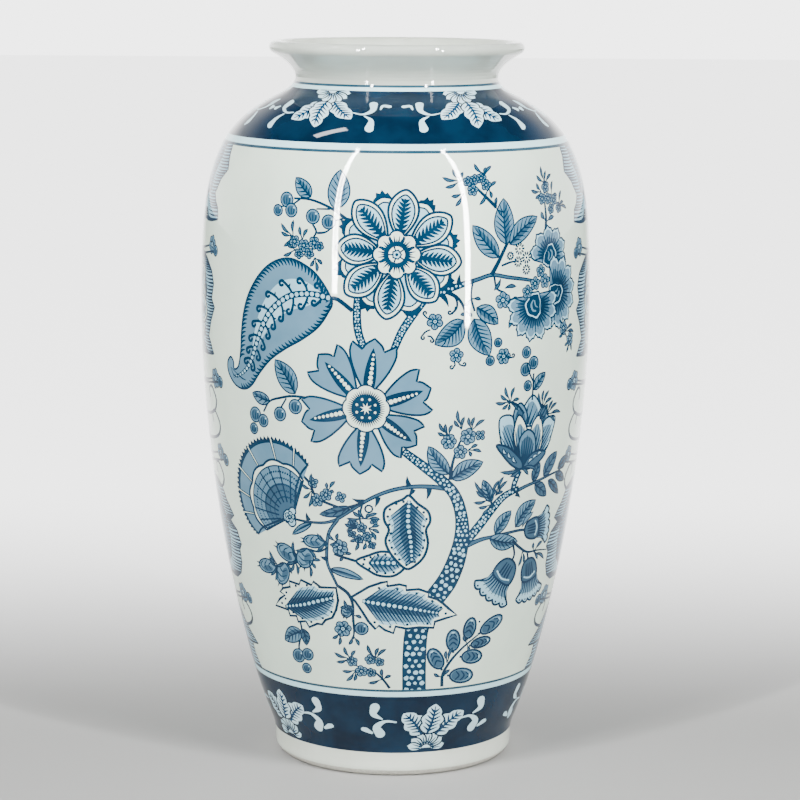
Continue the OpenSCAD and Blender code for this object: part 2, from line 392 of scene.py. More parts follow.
def fan_flower(art):
    """The fan at the left: a saw-edged outer rim, panels, and ribs from one foot."""
    foot = -52 + 139j
    middle = -63 + 151j
    sweep = np.linspace(245, 37, 80)
    rim = middle + 26.3 * turned(sweep)

    def band(share, spots=sweep):
        edge = middle + 26.3 * turned(spots)
        return foot + (edge - foot) * share

    teeth = np.where(np.arange(len(sweep)) % 2, 1.035, 0.99)
    saw = foot + (rim - foot) * teeth
    art.patch("ink", np.concatenate([saw, band(0.05)[::-1]]))
    art.patch("deep", np.concatenate([band(0.985), band(0.06)[::-1]]))
    art.patch("wash", np.concatenate([band(0.945), band(0.07)[::-1]]))
    for spot in (212, 186, 160, 130, 92, 60):
        a, b = band(0.7, np.array([spot - 1.3, spot + 1.3]))
        c, d = band(1.0, np.array([spot + 1.3, spot - 1.3]))
        art.shape([a, b, c, d], "white", 0.35)
    ripple = 0.7 + 0.035 * abs(np.sin(np.radians(sweep) * 4.5))
    inner = foot + (rim - foot) * ripple
    art.shape(np.concatenate([inner, [foot + 1, foot - 1]]), "white", 0.75)
    art.shape(np.concatenate([band(0.66), [foot + 1, foot - 1]]), "wash", 0.45)
    art.patch("mid", np.concatenate([band(0.44), [foot + 1, foot - 1]]))
    for share in (0.26, 0.34, 0.42, 0.5, 0.58):
        ticks = sweep[2:-2:3 if share < 0.4 else 2]
        for spot in ticks:
            low, high = band(share, np.array([spot])), band(share + 0.012, np.array([spot + 2.2]))
            art.stroke([low[0], high[0]], 0.72, (1, 0.8), "deep", 2)
    for spot in (243, 222, 200, 178, 157, 134, 112, 90, 66, 40):
        ends = band(0.2, np.array([spot])), band(0.66, np.array([spot]))
        art.stroke([ends[0][0], ends[1][0]], 0.5, (1, 1), "ink", 2)
    art.stroke([rim[-1], -46+162j, -49+154j, -49.5+146j, foot + 1 + 2j], 0.7, (1, 1))
    art.stroke([rim[0], -71+131j, -63+135j, -56+138j], 0.7, (1, 1))
    for place, size in ((foot - 1 + 0.5j, 3.6), (foot + 0.5 - 2.2j, 2.3), (foot + 0.8 + 3.4j, 2)):
        art.shape(ring(place, size, 12), "pale", 0.5)
    art.blossom(foot - 0.8 + 0.3j, 2.8, 5, 10, "pale")


def jagged_leaf(art, outline, spine, lean, dots):
    """A leaf with a dotted margin, a hatched heart that reaches nearly to it, and a beaded midrib."""
    art.shape(outline, "white", 0.85)
    line = curve(spine)
    shares = np.linspace(0.02, 0.97, round(abs(np.diff(line)).sum() / 1.85))
    roots = along(line, shares)
    ways = along(line + sideways(line), shares) - roots
    for side in (-1, 1):
        way = ways * side * turned(-lean * side)
        room = np.clip(room_to(outline, roots, way) - 1.7, 1, 14)
        art.patch("pale", np.concatenate([roots, (roots + way * room)[::-1]]))
        art.patch("wash", np.concatenate([roots, (roots + way * room * 0.84)[::-1]]))
        art.patch("mid", np.concatenate([roots, (roots + way * room * 0.44)[::-1]]))
        for k, (root, tip) in enumerate(zip(roots, roots + way * room)):
            reach = 1.0 if k % 2 else 0.84
            art.stroke([root, root + (tip - root) * reach], 0.6, (1.4, 0.3), "ink", 2)
    art.beads(spine, [2.2, 3.2, 3.2, 2.6, 1.6], 0.7)
    art.dots(dots, 0.72, "ink", 7)


def scalloped_leaf(art):
    """The leaf that hangs in the middle, with a second lobe curled away below it."""
    art.stroke([-29+123j, -24+121.5j, -18+120j], 0.9, (1, 1))
    lobe = curve([5+117j, 0+113j, -7+113j, -12+115.5j, -18+120j, -12+123.2j, -6+125.3j, 0+124.4j, 5+121j],
                 closed=True, steps=4)
    jagged_leaf(art, lobe, [3+119.5j, -3+119.6j, -12+119.4j], -35,
                [-14+121j, -11+122.2j, -7.5+123.6j, -4+123.8j, -0.5+123j, -14.5+118.6j,
                 -11.5+116.6j, -8+114.8j, -4+114.3j, 0+114.8j])
    body = curve([7+153.5j, 11+149.5j, 16+145.5j, 17.2+140.5j, 15.2+136j, 16.2+129.5j,
                  14.5+123j, 10.5+118.5j, 6+116.5j, 1+121j, -2.5+126j, -4+131j, -2.4+136.5j,
                  -4.6+141j, -4.4+146.5j, -0.5+149.6j, 4+151.6j], closed=True, steps=4)
    jagged_leaf(art, body, [7+151j, 6.6+140j, 8+130j, 8.6+119.5j], 42,
                [11+147.6j, 14+145j, 15.4+141.6j, 14.2+138j, 13.6+134.6j, 14.4+131j, 13.8+127j,
                 12.4+123.6j, 10+120j, 6+118.6j, 2.6+121.4j, 0.6+124.2j, -1+127.4j, -2.2+131j,
                 -1.4+134.6j, -2.2+139j, -3+143j, -2+146.6j, 1+149.4j, 4.4+150.4j])


def great_leaves(art):
    """The two toothed leaves that cross at the foot of the trunk."""
    left = [-28+105.5j, -36+105j, -40+107.6j, -41+105.6j, -47+107.6j, -48+105j, -54+106j, -53.4+103j,
            -58+101.6j, -60+99.4j, -57+98j, -60.5+95.4j, -63.5+91.4j, -55+90.5j, -54+87.5j, -50+88j,
            -49+85j, -44.4+86j, -42.6+83j, -38+85.5j, -35.4+85.4j, -33.6+88j, -30+89.6j, -28+94j, -27+99j]
    jagged_leaf(art, left, [-30+100j, -38+97.4j, -46+94.6j, -57+92j], -50,
                [-59+93.4j, -56.6+96.2j, -56+99.6j, -50+104j, -43.6+105.2j, -36.8+105j,
                 -52+89.6j, -46.6+87.2j, -41.4+86j, -35+88.8j, -30.4+92.6j])
    right = [-20+101.5j, -12+107j, -6+109.4j, -3+110j, -3+107.6j, 2.6+108.6j, 6+107.8j, 6+105.6j, 12+106j,
             17+104j, 16.6+102j, 21+100.4j, 24+98j, 27+95j, 31+91.4j, 25+90j, 20+88.6j, 19.4+85.4j,
             12.6+86j, 6.4+85.4j, 1+86.6j, 0+83j, -4+84.6j, -7+87j, -8.6+85j, -12+89j, -15+94j, -18.6+99.4j]
    jagged_leaf(art, right, [-15+99.6j, -4+98j, 8+96j, 22+93j], 42,
                [-7+106.6j, 1.8+106.2j, 11+103.8j, 18.6+99.6j, 25.4+92.6j, 16.4+87.8j,
                 6.6+87.6j, -1.6+86.4j, -9+88.6j, 23+96j, -3+108j])


def carnation(art, heart, turn, spread, reach, petals, waist=5.5):
    """A fringed flower seen from the side: a dark heart, a wavy collar and a saw-edged skirt."""
    angles = np.linspace(turn - spread, turn + spread, petals * 6 + 1)
    ripple = 1 - 0.16 * abs(np.cos(np.linspace(0, np.pi * petals, len(angles)))) ** 3
    teeth = np.where(np.arange(len(angles)) % 2, 1.05, 0.98)
    skirt = heart + turned(angles) * reach * ripple * teeth
    foot = heart - turned(turn) * waist * 0.8
    art.shape(np.concatenate([skirt, [foot]]), "pale", 0.6)
    art.patch("wash", np.concatenate([heart + turned(angles) * reach * ripple * 0.9, [foot]]))
    art.patch("mid", np.concatenate([heart + turned(angles) * reach * ripple * 0.66, [foot]]))
    for k, spoke in enumerate(turned(angles[::2])):
        tip = heart + spoke * reach * (0.9 if k % 3 == 0 else 0.72)
        art.stroke([heart + spoke * waist * 0.8, tip], 0.55, (1.6, 0.3), "ink", 2)
    angle = np.radians(np.arange(0, 360, 9))
    bean = np.cos(angle) + 0.84j * np.sin(angle) + 0.16j * np.cos(2 * angle)
    bean = (1.05 + 0.05 * np.cos(7 * angle)) * bean
    way = waist * turned(turn)
    art.shape(heart + way * bean, "pale", 0.5)
    art.shape(heart + way * bean * 0.76, "deep", 0.4)
    bow = np.array([-0.45-0.1j, -0.1-0.35j, 0.35-0.2j, 0.45+0.15j])
    art.stroke(heart + way * bow, 0.8, (0.4, 0.6), "wash", 3)
    art.stroke(heart + way * np.array([-0.4, 0.05+0.12j, 0.2+0.38j]), 0.5, (1, 0.3), "wash", 3)


def bell(art, top, turn, length, width, dotted=True):
    """A hanging bell: a domed cap and a skirt with a scalloped, dotted hem that opens along the turn."""
    way = turned(turn)

    def place(u, v):
        return top + way * (np.asarray(u) * length + 1j * np.asarray(v) * width / 2)

    across = np.linspace(-1, 1, 51)
    lobes = abs(np.sin(2.5 * np.pi * (across + 1))) ** 0.7
    hem = place(0.88 - 0.1 * across ** 2 + 0.075 * lobes, 1.04 * across)
    side = np.array([(0.0, 0.0), (0.05, 0.32), (0.2, 0.52), (0.42, 0.54), (0.58, 0.6), (0.7, 0.82),
                     (0.76, 1.0)])
    left = place(side[:, 0], side[:, 1])
    right = place(side[1:, 0], -side[1:, 1])
    art.shape(np.concatenate([hem, left[::-1], right]), "pale", 0.75)
    art.patch("wash", place([0.4, 0.7, 0.77, 0.7, 0.4], [-0.5, -0.74, 0, 0.74, 0.5]))
    for v in np.linspace(-0.86, 0.86, 9):
        fold = [place(0.42, v * 0.55), place(0.6, v * 0.62), place(0.8 - 0.1 * v * v, v * 0.94)]
        art.stroke(fold, 0.62, (1.3, 0.4), "ink", 3)
    if dotted:
        spots = np.array([-0.8, -0.4, 0, 0.4, 0.8])
        art.dots(place(0.89 - 0.1 * spots ** 2, spots), 0.6, "ink")
    cap = curve(place([0, 0.06, 0.24, 0.45, 0.5, 0.45, 0.24, 0.06],
                      [0, 0.36, 0.56, 0.52, 0, -0.52, -0.56, -0.36]), closed=True, steps=4)
    art.shape(cap, "mid", 0.7)
    art.stroke([place(0.36, -0.42), place(0.43, 0), place(0.36, 0.42)], 0.55, (1, 1), "pale", 3)
    for v in np.linspace(-0.24, 0.24, 4):
        art.stroke([place(0.1, v * 0.8), place(0.38, v)], 0.6, (0.6, 1.2), "ink", 2)


def lotus_bud(art):
    """The large bud on the right branch, with its sprigs and berries."""
    foot = 68 + 164j

    def petal(points, fill, strokes, shade="wash"):
        outline = curve(points, closed=True, steps=4)
        low = points[0]
        high = points[len(points) // 2]
        across = 1j * (high - low) / abs(high - low)
        middle = outline.mean()
        art.shape(outline, fill, 0.62)
        art.patch(shade, low + (middle + (outline - middle) * 0.84 - low) * 0.88)
        for k in np.linspace(-1, 1, strokes):
            root = low + across * k * 2.6 + (high - low) * 0.05
            tip = root + (high - low) * (0.8 - 0.22 * abs(k)) + across * k * 2.4
            art.stroke([root, tip], 0.62, (1.7, 0.3), "deep", 3)

    petal([68+184j, 65.4+190j, 68+195j, 72.6+198.4j, 77+194.4j, 79+189j, 76+184j], "pale", 4)
    petal([64+180j, 60.4+187j, 61+192.6j, 64.6+195.4j, 68.4+191j, 69+185j], "wash", 4, "mid")
    petal([76+180j, 76+187j, 79+191.6j, 82.6+191.4j, 84.6+186j, 83+181j], "wash", 4, "mid")
    petal([64+165j, 56+171.6j, 52.6+180j, 52.4+189j, 59.6+189.4j, 61.6+181j, 66+172j], "pale", 7)
    petal([73+165j, 83+169.5j, 87.6+176.6j, 90.4+185.6j, 82.4+185.6j, 79+180j, 74+172j], "pale", 7)
    petal([66+166j, 62+174j, 60.6+182j, 63.6+189.6j, 68.4+184j, 70+175j], "white", 6)
    petal([73+166j, 71.4+176j, 72.6+184j, 77.4+188j, 80.4+181j, 79.4+172j], "white", 6)
    petal([68+164j, 64+171.6j, 65+178.6j, 69.8+181.8j, 74.4+178.6j, 75.4+171.6j, 72+165j], "wash", 7, "mid")
    for outline, notes in (
        ([66+162.4j, 60+165j, 54.4+170.6j, 50.6+176j, 57+174.6j, 62.4+170.6j, 66.6+166j],
         [54+173j, 57+171j, 60+168.6j, 63+166j]),
        ([67+162.4j, 73+162.4j, 78.4+164.6j, 83.4+169j, 77+170.4j, 72+169j, 68+165j],
         [80+168.4j, 76.6+167.4j, 73.4+166j, 70.4+164.4j]),
    ):
        art.shape(curve(outline, closed=True, steps=4), "mid", 0.7)
        for start, end in zip(notes, notes[1:]):
            art.leaflet(end, start + (0.5+1j), 1.6, "pale", 0.2)
    for tip in (53+162.6j, 59+159.6j, 71+159j, 77+161j):
        art.leaflet(foot - 2 - 1j, tip, 1.6)
    art.stroke([72+196j, 72.4+203j, 72.6+209j], 0.7, (1, 1))
    art.berry(67.6+219.6j, 2.8)
    art.berry(72.4+214.2j, 3.1)
    art.berry(67.2+211.4j, 3.2)
    art.berry(68.8+203.4j, 2.5)
    art.leaf(73+201j, 81+208.6j, 5.5, 0.05, "wash", 3)
    art.stroke([68+214j, 70+209j, 72.4+205j], 0.6, (1, 1))
    art.stroke([67+190j, 62+195j, 56+197j], 0.7, (1, 1))
    art.tuft(58+196.4j, [49.6+196.8j, 52.4+200.4j, 55+204j, 60.6+203.4j, 53.4+193.4j, 57+192.6j,
                         63.6+197.4j, 63+192j])
    art.tuft(79+192j, [84.4+199.4j, 80.4+200j, 87+195.4j, 76.4+199j])
    art.tuft(83+188j, [91.6+192.4j, 95.4+187.2j, 90+183.4j, 88+194j])
    art.leaf(78+186j, 83.6+192.6j, 4, 0, "mid", 2)


def trunk_and_branches(art):
    art.limb([24+156.5j, 17+157.6j, 9+157.8j, 0+156.4j, -8+153.4j, -15+149.4j, -22+144.4j,
              -28+140.4j, -34+138.4j, -42+138j, -50+138.6j], [2.6, 2.2, 2, 1.7, 1.2], fill="mid")
    art.limb([-27+140.6j, -31.4+134j, -32.6+126j, -32.4+118j, -29.4+111j, -27+106j],
             [2, 1.8, 1.4], fill="mid")
    art.stroke([-27+106.6j, -22+103j, -19.6+97j, -19.6+88j], 1.1, (1, 0.6))
    for base, tip in ((7+158j, 6+163j), (16.6+156.6j, 15.4+151.4j), (-7.6+152.6j, -9+147.6j),
                      (-14.4+150j, -20+151.4j), (-42+138.6j, -43.4+142.6j), (-32.6+127j, -36+132j),
                      (-32.4+120j, -36+121j), (9+156.6j, 6.6+153j)):
        art.thorn(base, tip)
    art.limb([35+127j, 43+129.4j, 50+130.2j, 58+131j, 66+131.4j, 71+131j], [3, 2, 1.6, 1.4], fill="mid")
    art.limb([64+152j, 70+153.6j, 76+154.6j, 84+156j, 92+157j, 99+157.4j], [2.2, 1.6, 1], fill="mid")
    art.limb([61+151j, 62+156j, 65+162j], [3.6, 3.4, 3.4], True, seed=3)
    art.limb([35+129j, 42+136.6j, 49+144.4j, 56+150.2j, 65+153j], [5, 5, 4.8, 4, 3], True, seed=4)
    art.thorn(63+150.6j, 66+148.2j)
    art.limb([10.2+51j, 10.2+70j, 11.6+86j, 18+98.6j, 25.6+109j, 30.4+120j, 33+132j,
              32.4+143j, 29+153j, 22.6+160.4j, 13.4+168j, 4+175.4j],
             [11.6, 11.6, 11.4, 10.4, 10.6, 9.6, 8, 6.4, 5.8, 5.4, 4.8, 3.8], True, seed=5)
    art.limb([-17+252j, -18+240j, -16.8+230j, -12.6+221j], [4, 4.2, 3.6], True, seed=6)
    art.limb([15+249j, 8.6+240.6j, 3+232j, -1+222.6j], [4, 4.2, 3.6], True, seed=7)
    art.limb([20+249.6j, 26+252j, 34+254.4j], [3.6, 3.4, 2.8], True, seed=8)
    art.limb([34+254.4j, 40+256j, 47+257.6j, 56+256j, 66+254.4j, 76+252.4j], [2.4, 2.2, 2, 1.6], fill="mid")
    for base, tip in ((27+253j, 24+257.6j), (30+253.6j, 30.4+258.6j), (22+249j, 25+243.6j)):
        art.thorn(base, tip)


def seed_case(art, base, tip, width):
    """An egg-shaped case on a short stalk, with three bows across it and a pale spot near its tip."""
    unit = (tip - base) / abs(tip - base)
    middle = base + (tip - base) * 0.55
    reach = abs(tip - base) * 0.45
    egg = ring(0, 1, 16)
    art.stroke([base, base + 0.3 * (tip - base)], 0.8, (1, 1), steps=2)
    art.shape(middle + unit * (egg.real * reach + 1j * egg.imag * width / 2), "wash", 0.7)
    art.patch("mid", middle + unit * (egg.real * reach * 0.7 - reach * 0.16 + 1j * egg.imag * width * 0.38))
    for share, half in ((-0.42, 0.3), (0.02, 0.34), (0.42, 0.28)):
        bow = [share - 0.1 - 1j * half * width / reach, share + 0.22,
               share - 0.1 + 1j * half * width / reach]
        art.stroke(middle + unit * reach * np.array(bow), 0.62, (0.5, 0.5), steps=3)
    art.patch("pale", middle + unit * (reach * 0.72 + egg.real * 0.4 + 1j * egg.imag * width * 0.13))


def foot_sprigs(art):
    """The seed cases, flowers and berries left and right of the foot of the trunk."""
    art.stroke([24+53j, 24.4+60j, 28+66.4j, 32+71j, 36.6+75j, 43+79.4j], 0.9, (1.2, 0.6))
    for base, tip, width in ((24+62j, 18+74j, 7), (29.6+71j, 29.4+83.6j, 7), (36.6+77j, 39.6+89j, 6.4),
                             (43+79.6j, 57.4+87.4j, 7), (38+74j, 50.4+76j, 5.4),
                             (33+68.6j, 45.6+67.4j, 7.4), (26.6+59j, 40.6+57.4j, 8)):
        seed_case(art, base, tip, width)
    art.tuft(26.4+66j, [26+72.6j, 29.4+74j])
    art.tuft(37+75j, [35+80j, 38+71j])
    art.tuft(24+58j, [20+60.6j, 28+62j])
    art.dots([43.6+86.4j, 41.6+73.6j], 0.6, "ink")
    art.stroke([-1.6+53j, -5+58j, -9.4+62j, -16+64j, -22+67j], 0.7, (1.2, 0.6))
    for place, size in ((-20+67j, 2.7), (-15.4+62j, 3), (-11+68.6j, 2.7), (-10.6+61.4j, 2.4),
                        (-6.6+67.4j, 2.3)):
        art.blossom(place, size, 5, 30)
    art.tuft(-21+68j, [-29+71j, -24+74.6j, -28+66j, -18.4+73j])
    art.tuft(-18+62j, [-25+61.4j, -23+56j, -19+56.4j])
    art.tuft(-9+69j, [-12.4+76.4j, -3.4+74.4j, -7+75j])
    art.tuft(-5+58j, [-12+55.6j, -5.4+63.6j, -1+60j])
    art.stroke([-48+86j, -47+80j, -49+72j, -48+68j], 0.7, (1, 1))
    art.leaf(-47+80j, -58+73.4j, 8.6, -0.05, "wash", 4)
    art.leaf(-47+81.6j, -44.4+73j, 5, 0.1, "mid", 3)
    art.berry(-49.4+66.4j, 3.7)
    art.berry(-43.8+68j, 3.2)
    art.berry(-44.6+60.2j, 2.7)
    art.stroke([-19.6+92j, -19+84j, -19.4+79j], 0.8, (1, 0.5))
    art.bud(-22+97j, -23.6+89.4j, 5.4)
    art.blossom(-24.6+84.2j, 4.2, 6, 10)
    art.berry(-15.4+85j, 3.3)
    art.tuft(-19.4+81j, [-16.6+75.8j, -21.6+76j])
    art.tuft(-26+81.6j, [-30+78.6j, -26.6+75.4j])
    art.tuft(-19.6+92j, [-15.4+90.6j, -24+99.6j])


def left_buds(art):
    """The small leaf and the buds at the left."""
    art.leaf(-31+115j, -14.6+110.8j, 4.4, 0.03, "wash", 0)
    art.stroke([-32+126j, -37+123.4j, -44+124.4j], 0.7, (1, 1))
    art.stroke([-40+124j, -48+117j, -56+114j, -62+112j], 0.8, (1, 1))
    art.bud(-33.6+128.4j, -47+128.4j, 6.6)
    art.bud(-49+117.6j, -63+124.6j, 8)
    art.bud(-43+124.4j, -46.4+112.6j, 9.4)
    art.bud(-62+112j, -76.6+111.4j, 7.4)
    art.bud(-56.4+115.4j, -60+101.6j, 8.4)
    art.tuft(-61+113j, [-66.4+120j, -63+105j, -66+116.4j])
    art.tuft(-50+118j, [-51+127j, -48.6+110j, -53+111j])
    art.tuft(-42+118j, [-38.6+114.6j, -41.4+109.6j, -36+119j])
    art.blossom(-26+126.4j, 4, 6, 40)
    art.tuft(-27.6+128.6j, [-32+133j, -27+133.4j, -31+127.4j])
    art.tuft(-24.4+123j, [-20.4+123.6j, -26+119.6j])


def fan_clusters(art):
    """The cluster beside the fan, and the one that hangs below it."""
    art.stroke([-45+161j, -41.4+157.4j, -38+151j, -30+147.6j, -23.6+146.6j, -15+149.4j], 0.9, (1, 1))
    art.leaf(-21+147j, -36.4+142.4j, 4.6, 0.04, "mid", 3)
    art.leaf(-40.6+137.4j, -51.4+130.6j, 3.6, -0.03, "wash", 0)
    for place, size in ((-39.6+158j, 2.7), (-37.6+149.4j, 3.3), (-33+152.4j, 3), (-25.6+151.8j, 2.7)):
        art.blossom(place, size, 5 if size > 2.9 else 4, 25)
    art.tuft(-40+154j, [-45.6+156.6j, -45+149.8j, -40.4+162.4j, -42+145.6j])
    art.tuft(-32+154.6j, [-28.4+159.4j, -32.6+158.4j, -29+154j])
    art.stroke([-15+149.4j, -16.4+142j, -14.4+135j, -15+129j], 0.7, (1, 0.5))
    art.shape(ring(-12+146.6j, 1.8, 10), "white", 0.6)
    for place, size in ((-19.6+138.6j, 2.5), (-15.4+137j, 2.5), (-12.6+132.6j, 2.4), (-16.6+131.4j, 2.2)):
        art.blossom(place, size, 5, 15)
    for place, size in ((-9.4+140.6j, 2), (-20+133.6j, 2), (-10.4+128.4j, 2)):
        art.blossom(place, size, 4, 30)
    art.tuft(-14+141.6j, [-8+144.4j, -6.6+141.4j, -19.6+145j, -22.6+141.4j, -11.4+144j, -17+146j])
    art.tuft(-18+137j, [-23.6+138.6j, -22.4+136j, -21+141j, -13.4+134j])
    art.tuft(-12+137j, [-7+138.4j, -7+134.6j, -8.6+131j])
    art.tuft(-16.6+132j, [-22.6+135.4j, -21+130j, -18.4+125.4j])
    art.tuft(-13+131j, [-14.6+126j, -10+126.4j])


def trunk_sprig(art):
    """The sprig on the trunk."""
    art.stroke([26.6+160.6j, 27.6+168j, 30+176j, 33+182j], 0.9, (1.3, 0.6))
    art.leaf(26+163.4j, 16+177.4j, 8, 0.06, "wash", 5)
    art.leaf(27.4+161j, 43.4+168.4j, 8.6, 0.06, "wash", 5)
    art.blossom(25.8+179.4j, 3.7, 6, 0)
    art.blossom(35.4+181.4j, 4, 6, 20)
    art.blossom(31.6+174j, 3.4, 5, 10)
    art.blossom(41.8+181.6j, 2.6, 4, 45)
    art.tuft(25.4+182j, [21+188.6j, 20.4+184j, 27.6+187.4j, 24+188j])
    art.tuft(32+185j, [30+194.4j, 33.4+191j, 28.4+189.6j])
    art.tuft(37+184.4j, [38.6+190.6j, 44+189j, 35.6+190.6j])
    art.tuft(35.6+175j, [40.4+177j, 42.4+173.4j, 37+171.6j])


def bells(art):
    """The bells and their leaves."""
    art.leaf(51+131.6j, 60.4+142.2j, 7, 0.04, "wash", 4)
    art.leaf(48+129.4j, 65.4+125.8j, 8.4, -0.06, "wash", 5)
    art.leaf(63.6+133.4j, 77.4+145.4j, 8.4, 0.1, "wash", 5)
    art.leaflet(68+132.6j, 76+139.4j, 2.6, "wash")
    art.stroke([62+126.6j, 67+122.4j, 73+119j, 81+118.6j, 90.6+117.2j], 0.9, (1.2, 0.4))
    art.tuft(69.6+120.6j, [66.8+112.4j, 70.6+113.6j])
    art.tuft(78+118.6j, [82+113.6j, 85.6+122.6j, 88.4+112.6j, 77.6+123j], 1.6)
    art.stroke([62.8+124j, 63.6+119j, 61.6+115j], 0.8, (1, 1))
    art.stroke([73+119j, 74+115j], 0.8, (1, 1), steps=2)
    bell(art, 62.6+116.4j, 232, 25.5, 24)
    bell(art, 74.4+115.4j, 280, 24.5, 22)
    bell(art, 70+130.6j, 2, 22.6, 19, dotted=False)


def right_branch_end(art):
    """The leafy end of the right branch, and the sprig in its fork."""
    for base, tip, width in ((74.4+155.4j, 79.4+164j, 5.6), (76+153.6j, 86+146.4j, 6.4),
                             (82.6+157j, 94+167.6j, 7.4), (95.6+158.6j, 107.4+163.4j, 5),
                             (93.6+156j, 104.6+151.6j, 5), (87+154j, 98.4+145.4j, 5)):
        art.leaf(base, tip, width, 0.03, "mid", 3)
    art.stroke([49.4+144.6j, 48+149j, 46+155j], 0.8, (1, 0.6))
    art.leaf(48.6+148j, 43.6+159.4j, 5.6, 0, "wash", 4)
    art.tuft(48+149j, [39.2+159j, 40+154.4j, 38.8+148.6j, 52.4+158.4j, 51.4+154j])
    art.tuft(48.6+146.6j, [41.4+145.8j, 43.6+142.4j])
    art.tuft(50.6+151j, [57.6+157.6j, 55+152.6j, 55.4+160j])


def lower_flower_sprig(art):
    """The sprig beside the lower flower."""
    art.stroke([-40+199j, -50+199.4j, -57+198j, -64+195.6j, -68+190j], 0.8, (1, 0.8))
    art.leaf(-49+200.6j, -60.4+216j, 10.4, -0.03, "wash", 5)
    art.leaf(-64+195.6j, -75.4+198.4j, 6, 0.04, "wash", 3)
    for place, size in ((-49+194.4j, 3.5), (-57.8+190j, 3.4), (-73.6+188j, 3.7), (-68.2+185.6j, 3.1),
                        (-74.8+181j, 2.7)):
        art.berry(place, size)
    art.stroke([-54+198j, -57+193.4j], 0.6, (1, 1), steps=2)
    art.stroke([-45.6+199j, -47.4+197.6j], 0.6, (1, 1), steps=2)


def stem_sprigs(art):
    """The leaves and flowers right of the stems."""
    art.stroke([24+251j, 30+247j, 33+241j, 32.4+233j], 0.9, (1.2, 0.6))
    art.stroke([24+250j, 28.4+247.6j, 29+243j, 26.4+240j], 0.7, (1, 0.8))
    art.leaf(32.4+237j, 18.6+226j, 11, 0.1, "wash", 6)
    art.leaf(37.6+237.4j, 46+219.6j, 11.6, -0.04, "wash", 6)
    art.leaf(39+242.6j, 50.4+234.4j, 8, 0.06, "wash", 4)
    art.blossom(18.6+236.8j, 3.8, 5, 50)
    art.blossom(29+220.6j, 3.4, 5, 10)
    art.blossom(53.8+218.8j, 3.8, 6, 0)
    art.berry(50.6+225.6j, 2.1)
    art.berry(46.4+217.2j, 2.3)
    for start, end, side in ((17+238j, 13.4+240j, -1), (16.4+233j, 12.4+230j, 1),
                             (15+230j, 17.6+228.6j, -1), (28+217.6j, 27.6+215j, -1),
                             (30+217.6j, 32.4+215.6j, 1), (56+219j, 59+218j, 1),
                             (28.4+243.6j, 26.4+240.4j, -1)):
        art.curl(start, end, 0.9, 0.6, side)
    art.stroke([37+256j, 36+248j, 38+241j], 0.7, (1, 1))
    art.tuft(36.4+247j, [32.6+244j, 41+246.4j])
    art.tuft(34+241j, [36.4+238.6j, 31+239.6j])
    art.stroke([48+257j, 49.6+251j, 55+248j, 58+241j], 0.7, (1, 0.6))
    art.blossom(53+245.4j, 4, 5, 20)
    art.blossom(59.4+243j, 3.6, 5, 0)
    art.leaflet(54+251j, 60.6+251.4j, 1.6)
    art.leaflet(58+238.6j, 56.4+232j, 1.8)
    art.leaflet(51.6+255.6j, 48+250.4j, 1.6)


def upper_right_sprigs(art):
    """The leafy branch and the sprigs at the upper right."""
    art.stroke([46.6+257.6j, 50+263j, 54+270j, 56+273j], 1.3, (1.2, 0.7))
    art.leaf(50.4+265.6j, 36.6+281j, 9, 0.02, "wash", 5)
    art.leaf(54.6+271.4j, 53+293j, 11, 0.02, "wash", 6)
    art.leaf(56.6+271.4j, 74+283.4j, 9.4, 0.06, "wash", 5)
    art.stroke([52+261.6j, 57+263j, 62+263.4j], 0.7, (1, 0.6))
    for centre, size in ((62.6+269j, 2.9), (66.8+264.6j, 2.9), (61.6+263j, 2.6), (66.8+259j, 2.5),
                         (57+266j, 2.1)):
        art.dots([centre], 0.6, "deep")
        for spoke in turned(np.arange(0, 360, 36)):
            art.stroke([centre + 0.45 * size * spoke, centre + size * spoke], 0.6, (0.6, 1), "deep", 2)
    art.stroke([49+289j, 45+292.6j, 40+297j, 37+300j], 1.0, (1.2, 0.6))
    for place, size in ((36.6+297.4j, 2.7), (41+303j, 2.6), (37.4+302.4j, 2.4), (43.6+299.6j, 2.6),
                        (34+301.6j, 2.4)):
        art.blossom(place, size, 5, 10)
    art.tuft(30.6+301.6j, [21.6+303.8j, 26.6+307.6j, 23+299j, 31.6+306j])
    art.tuft(32+296j, [26+294.8j, 28+290.2j])
    art.tuft(42.4+304j, [37.4+310j, 46.4+308.6j, 43.6+308j])
    art.tuft(45+298j, [49+301j, 46.4+293.4j, 40+290.4j])
    art.tuft(49+288.6j, [49.2+293.6j, 52+285j])
    art.stroke([80+276j, 80.4+283j, 79.6+290j], 1.1, (1.2, 0.7))
    for place, size in ((80.6+297j, 2.9), (77.8+291.6j, 2.7), (82.4+291.4j, 2.7), (87+290.4j, 2.6),
                        (91+286.6j, 2.5), (84.4+286.4j, 2.4)):
        art.blossom(place, size, 5, 35)
    art.tuft(80+298.6j, [78+307j, 74.4+302.8j, 85.8+302.8j, 81.6+304.6j])
    art.tuft(77.4+294.6j, [70.2+296j, 73+292j, 74+299j])
    art.tuft(85+293j, [86.6+299.4j, 90+292.4j])
    art.tuft(91+288j, [94+294.4j, 98.4+285.6j, 95.6+289j])
    art.tuft(80.2+280.6j, [76.8+285.4j, 86.6+282.6j], 2)


